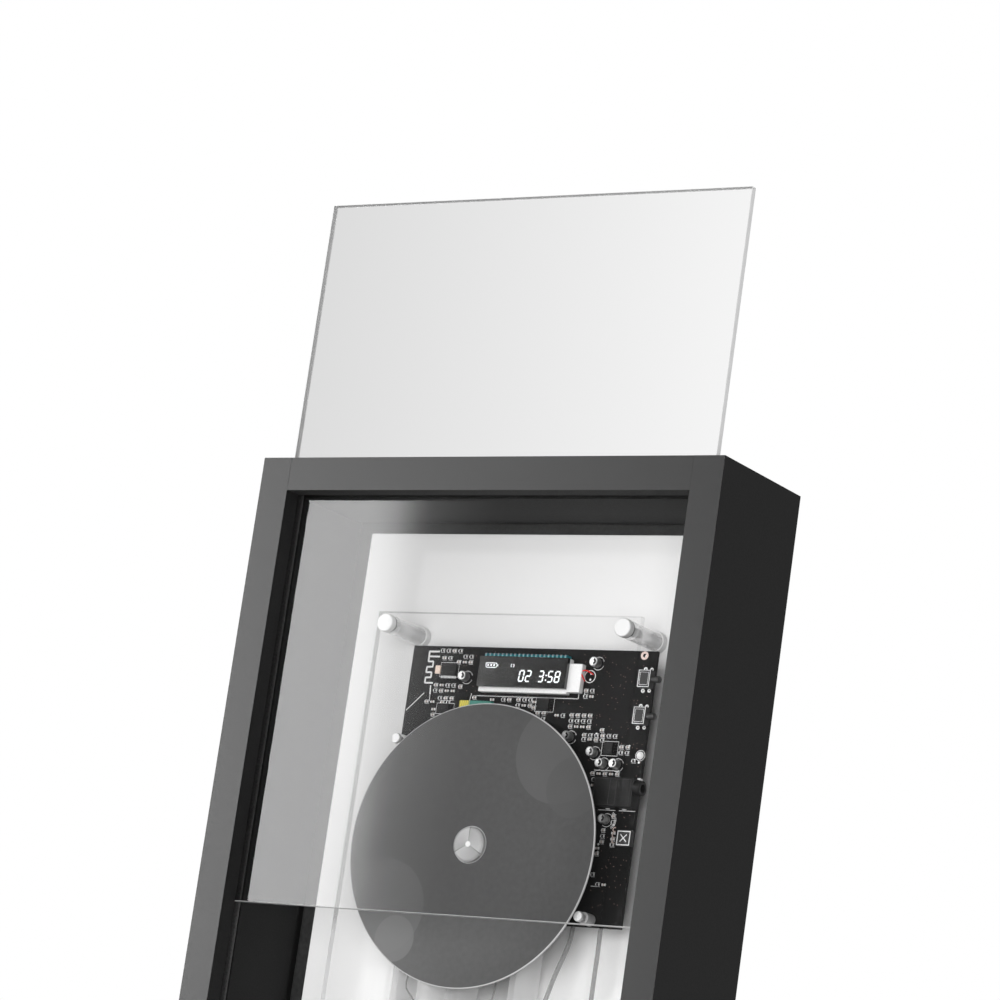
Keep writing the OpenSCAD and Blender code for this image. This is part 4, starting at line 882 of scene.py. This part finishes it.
# %% Display
softened("display_backlight", WHITE_PLASTIC, 0.3)
softened("display_glass", GLASS, 0.15)
softened("display_pins", TEAL, 0.2)
lo, hi = parts("display_pins")
bead = [(0, -0.28), (0.2, -0.24), (0.34, -0.1), (0.38, 0.05), (0, 0.05)]
upper = np.stack([(lo + hi)[:, 0] / 2, lo[:, 1], hi[:, 2] - 0.4], 1)
skin("upper_beads", [revolve(bead, upper, around=10)], PINK_METAL)
skin("lower_beads", [revolve(bead, upper - (0, 0, 0.7), around=10)], TEAL_METAL)
GLASS_Y = 36.5 - HALF_DEPTH
LIT = (GLASS_Y - 0.03, GLASS_Y + 0.02)
SEGMENTS = {"a": ((0, 2), (1, 2)), "b": ((1, 2), (1, 1)), "c": ((1, 1), (1, 0)), "d": ((0, 0), (1, 0)),
            "e": ((0, 1), (0, 0)), "f": ((0, 2), (0, 1)), "g": ((0, 1), (1, 1))}
DIGITS = {"0": "abcdef", "2": "abged", "3": "abgcd", "5": "afgcd", "8": "abcdefg"}


def digit(figure, left):
    """Each lit segment as a strip between two corners of a 1 by 2 grid, shortened and slanted."""
    out = []
    for name in DIGITS[figure]:
        ends = np.array(SEGMENTS[name], float)
        ends = ends.mean(0) + (ends - ends.mean(0)) * 0.84
        across = left + ends[:, 0] * DIGIT_WIDE + ends[:, 1] * DIGIT_TALL * DIGIT_LEAN
        out.append(strip(np.stack([across, DIGIT_FOOT + ends[:, 1] * DIGIT_TALL], 1), 0.6, LIT))
    return out


DIGIT_FOOT, DIGIT_WIDE, DIGIT_TALL, DIGIT_LEAN = 229.65, 2.1, 2.25, 0.1
signs = []
for figure, left in (("0", 7.3), ("2", 10.7), ("3", 17.0), ("5", 21.6), ("8", 25.0)):
    signs += digit(figure, left)
signs += [strip([(20.75, z), (20.8, z + 0.6)], 0.6, LIT) for z in (230.1, 232.1)]
battery_sign = bent([(-9.8, 237.1), (-4.3, 237.1), (-4.3, 235.2), (-9.8, 235.2), (-9.8, 237.1)], 0.8, 4)
signs += [strip(battery_sign, 0.32, LIT), strip([(-3.85, 236.6), (-3.85, 235.7)], 0.35, LIT)]
signs += [strip([(x, 235.75), (x + 0.15, 236.6)], 0.75, LIT) for x in (-8.8, -7.3, -5.8)]
arc = np.linspace(0.5, 2.6, 9)
signs += [strip(np.stack([3.5 + 0.75 * np.cos(arc + t), 236.2 + 0.75 * np.sin(arc + t)], 1), 0.35, LIT)
          for t in (math.pi / 2, math.pi * 1.5)]
skin("lit_signs", signs, GLOW)

# %% [markdown]
# ## Print and bare copper on the board
#
# The board's white print and its aerial are thin layers, so they are strips a few hundredths of a
# millimetre high. The aerial is one line that runs up and down like teeth. Most small parts have a
# printed line on both sides, the chips a printed frame and the capacitors a ring. The copper dots are
# plated holes that join the board's layers. They are scattered with a fixed seed, so that every run
# gives the same board, and kept off the screws.

# %% Board print
INK = (BOARD_Y - 0.04, BOARD_Y + 0.01)


def outlined(left, foot, right, top):
    """The corners of a printed frame, back to the first."""
    return [(left, foot), (right, foot), (right, top), (left, top), (left, foot)]


def arc_line(x, z, radius, start=0.0, end=360.0, points=21):
    """A printed arc: centre plus radius times cosine and sine, from start to end in degrees."""
    a = np.radians(np.linspace(start, end, points))
    return np.stack([x + radius * np.cos(a), z + radius * np.sin(a)], 1)


# Each line is its width and its path.
aerial = [(-37.5, 242.5), (-42.7, 242.4), (-42.6, 238.1), (-40.0, 238.1), (-40.1, 235.8), (-42.9, 235.7),
          (-43.0, 233.4), (-40.2, 233.4), (-40.2, 231.2), (-42.9, 231.1), (-42.9, 228.8), (-38.8, 228.8)]
drawn = [(0.73, bent(aerial, 0.2)), (0.73, [(-42.7, 240.3), (-37.1, 240.3)]),
         (0.6, [(-39.7, 227.7), (-39.4, 224.0)]), (0.25, [(-39.4, 224.0), (-39.2, 220.8)]),
         (0.4, [(-50.4, 216.6), (-42.4, 224.4)])]
for path in ([(-15.3, 223.9), (34.9, 223.9), (34.9, 226.0)], [(-18.3, 224.8), (-18.8, 221.6)],
             [(47.4, 194.3), (59.1, 194.3), (59.05, 197.0)], [(52.0, 177.9), (60.2, 177.9)],
             [(61.9, 177.9), (69.7, 177.9)], [(-14.3, 225.8), (-14.3, 239.8)], [(37.6, 225.0), (37.6, 227.4)],
             [(53.4, 146.2), (56.5, 146.2)]):
    drawn.append((0.25, bent(path, 0.3) if len(path) > 2 else path))
for low, high in zip(body_lo[marked], body_hi[marked]):
    drawn += [(0.16, [(low[0] - 0.1, z), (high[0] + 0.1, z)]) for z in (low[2] - 0.3, high[2] + 0.3)]
drawn += [(0.2, outlined(low[0] - 0.9, low[2] - 0.5, high[0] + 0.9, high[2] + 0.5)) for low, high in chips]
drawn += [(0.22, arc_line(x, z, 2.75, 20, 340)) for x, _, z in can_place]
drawn += [(0.3, arc_line(39.1, 233.5, 2.6)), (0.2, arc_line(57.2, 173.7, 3.3, -60, 60)),
          (0.2, arc_line(57.2, 173.7, 3.9, -60, 60)), (0.2, arc_line(68.5, 201.1, 2.2))]
skin("white_print", [strip(path, width, INK) for width, path in drawn], PRINT)

# %% Copper dots, pads and the corner's ring
random = np.random.default_rng(7)
dots = np.concatenate([random.uniform((43, 134), (69.5, 243), (190, 2)),
                       random.uniform((-49, 212), (43, 243), (130, 2))])
screw_spots = np.array([(55.5, 132.1), (-46.5, 202.5), (28.0, 201.0), (64.1, 243.0)])
dots = dots[np.hypot(*(dots[:, None] - screw_spots).transpose(2, 0, 1)).min(1) > 3.2]
dots = np.insert(dots, 1, BOARD_Y - 0.03, axis=1)
plated = [(0, 0), (0.17, 0), (0.17, 0.04), (0, 0.04)]
skin("plated_holes", [revolve(plated, dots, around=8)], PLATED)
pad_spots = [(39.5, 234.75), (39.45, 232.2), (66.1, 199.1), (68.2, 198.2), (54.3, 163.6), (54.5, 160.4),
             (54.0, 151.6), (60.5, 171.9), (62.6, 204.9), (46.1, 209.5)]
pad = [(0, -0.05), (0.45, -0.05), (0.5, 0.04), (0, 0.04)]
pad_rings = revolve(pad, np.insert(pad_spots, 1, BOARD_Y, axis=1), around=12)
skin("solder_pads", [pad_rings], SOLDER)
corner = revolve([(0.8, 0), (1.8, 0), (1.8, 0.06), (0.8, 0.06)], (64.1, BOARD_Y - 0.05, 243.0), around=32)
skin("corner_ring", [corner], COPPER, ring=True)
hooks = [strip(arc_line(x, z, 0.85, 60, 300, 13), 0.5, INK)
         for x, z in ((61.2, 170.0), (61.2, 167.6), (61.4, 165.2))]
skin("copper_hooks", hooks, COPPER)

# %% [markdown]
# ## Buttons, switches and sockets
#
# Each push switch is a black block in a folded metal frame, with a round button at the board's edge.
# The headphone socket has a ring round its mouth, and the infrared receiver a shallow cross on its face.

# %% Switches and sockets
softened("switch_bodies", CHIP_GREY, 0.2)
for node, body in (("power_button", "power_push"), ("pair_button", "pair_push")):
    softened(node, BUTTON, 0.35, 3, body=body)
lo, hi = parts("switch_bodies")
frames, tabs = [], []
for low, high in zip(lo, hi):
    face = (low[1] - 0.05, low[1] + 0.02)
    frames.append(strip(outlined(low[0] + 0.25, low[2] + 0.25, high[0] - 0.25, high[2] - 0.25), 0.3, face))
    frames.append(strip(outlined(low[0] + 0.9, low[2] + 1.1, high[0] - 0.9, high[2] - 1.1), 0.16, face))
    for x, out in ((low[0] + 1.2, 0.85), (high[0] - 1.6, 0.75)):
        tab = [(0.35, 0), (out, 0), (out, 0.3), (0.35, 0.3)]
        tabs += [revolve(tab, (x, BOARD_Y - 0.3, z), around=14) for z in (low[2] - out, high[2] + out)]
skin("switch_frames", frames, SOLDER)
skin("switch_tabs", tabs, SOLDER, ring=True)

softened("headphone_socket", JACK, 0.35)
JACK_Y = 3.45
jack_face = (JACK_Y - 0.03, JACK_Y + 0.02)
ribs = [strip([(x, 179.3), (x, 190.0)], 0.22, jack_face) for x in (59.5, 62.7, 69.3)]
ribs.append(strip(outlined(52.2, 179.2, 69.3, 190.0), 0.14, jack_face))
skin("socket_ribs", ribs, CHIP_GREY)
clips = block([(69.9, 7.0, 190.5), (64.0, 8.0, 178.1), (56.0, 8.0, 178.1)],
              [(71.4, BOARD_Y, 191.3), (65.6, BOARD_Y, 178.7), (57.6, BOARD_Y, 178.7)], 0.15, steps=1)
skin("socket_clips", [clips], SOLDER)
mouth = [(1.85, 0), (2.6, 0), (2.7, 0.15), (2.6, 0.3), (1.85, 0.3)]
socket_ring = revolve(mouth, (73.25, 38.7 - HALF_DEPTH, 186.9), "x")
skin("socket_ring", [socket_ring], CHIP_GREY, ring=True)
softened("infrared_receiver", CHIP_GREY, 0.4)
(low_x, ir_y, low_z), (high_x, _, high_z) = ([v / MM for v in corner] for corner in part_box("infrared_receiver"))
ir_x, ir_z = (low_x + high_x) / 2, (low_z + high_z) / 2
eye = revolve([(0, -0.12), (1.6, -0.1), (2.2, -0.02), (2.3, 0.1), (0, 0.1)], (ir_x, ir_y, ir_z), around=32)
skin("receiver_eye", [eye], BLACK_PLASTIC)
cross = [strip([(ir_x - 1.5, ir_z - s * 1.5), (ir_x + 1.5, ir_z + s * 1.5)], 0.4, (ir_y - 0.16, ir_y - 0.05))
         for s in (-1, 1)]
rim = outlined(low_x + 0.6, low_z + 0.6, high_x - 0.6, high_z - 0.6)
cross.append(strip(rim, 0.5, (ir_y - 0.04, ir_y + 0.02)))
skin("receiver_cross", cross, SOLDER)
softened("power_socket", JACK, 0.3)
pin = [(0, 0.0), (0.7, 0.1), (1.0, 0.5), (1.0, 8.9), (0, 8.9)]
skin("socket_pin", [revolve(pin, (50.0, 44.2 - HALF_DEPTH, 1.2), "z")], STEEL)

# %% [markdown]
# ## Status lamp and the red wires
#
# Two short red wires run from the display's white block to pads on the board. They are soft, so they
# curve between their ends. A small white lamp sits at the board's right edge.

# %% Lamp and wires
t = np.linspace(0, 1, 16)[:, None]
wires = []
for start, bend, end in (((36.3, 7.2, 235.2), (38.6, 5.9, 236.2), (40.6, 9.1, 234.4)),
                         ((36.2, 6.9, 234.2), (37.2, 6.0, 233.0), (36.9, 9.1, 231.6))):
    a, b, c = (np.array(p) for p in (start, bend, end))
    wires.append(wire(a * (1 - t) ** 2 + 2 * b * t * (1 - t) + c * t ** 2, 0.3))
skin("red_wires", wires, RED_WIRE)
status = revolve([(0, 0), (0.6, 0.05), (1.1, 0.35), (1.35, 0.8), (1.6, 0.9), (1.6, 1.2), (0, 1.2)],
                 (68.5, BOARD_Y - 1.2, 201.1), around=32)
skin("status_lamp", [status], WHITE_PLASTIC)

# %% [markdown]
# ## Ribbon, leads and battery
#
# The ribbon is a flat strip of film with parallel tracks, from the board's socket down to the drive's.
# The leads are clear sleeves, and the battery is a soft pouch, so its edges are round.

# %% Ribbon, leads, battery
softened("ribbon_connectors", FILM, 0.25)
ribbon_lo, ribbon_hi = (np.array(v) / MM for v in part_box("mechanism_ribbon"))
z = np.linspace(ribbon_hi[2], ribbon_lo[2], 40)
x = np.linspace(ribbon_lo[0], ribbon_hi[0], 13)
front = np.stack(np.broadcast_arrays(x, 40.3 - HALF_DEPTH, z[:, None]), -1)
rear = front[:, ::-1] + (0, 0.22, 0)
loop = np.concatenate([front, rear], 1)
tips = np.repeat(loop[[0, -1]].mean(1)[:, None], loop.shape[1], 1)
ribbon = np.concatenate([tips[:1], loop, tips[1:]])[None]
skin("film_ribbon", [ribbon], FILM, ("mechanism_ribbon",))
softened("board_leads", LEAD, 0)

low, high = (np.array(v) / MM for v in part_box("battery"))
skin("battery_pouch", [block(low, high, 1.6, "y", 4)], WRAP, ("battery",))

# %% [markdown]
# ## The speakers
#
# Each cone has a rolled rubber edge that lets it move and a dome over its middle. The profile is the
# roll's half circle, then the straight paper cone, then the dome, and the back follows it at the
# paper's thickness.

# %% Speakers
softened("speaker_frames", SPEAKER_STEEL, 0.3)
CONE_FRONT = 31.5 - HALF_DEPTH
roll = [(9.2 + 1.0 * math.cos(a), 1.0 - 0.75 * math.sin(a)) for a in np.linspace(0, math.pi, 9)]
dome = [(3.4 * math.cos(a), 4.4 - 1.4 * math.sin(a)) for a in np.linspace(0, math.pi / 2, 8)]
cone_back = [(0, 7.3), (3.2, 7.3), (3.4, 5.0), (8.4, 1.5), (10.2, 1.4)]
for body, node, x in (("left_speaker_cone", "left_cone", -18.0), ("right_speaker_cone", "right_cone", 12.4)):
    cone = revolve(roll + dome + cone_back, (x, CONE_FRONT, 76.5), around=64)
    skin(f"{node}_paper", [cone], PAPER, (node,), ring=True, body=body)
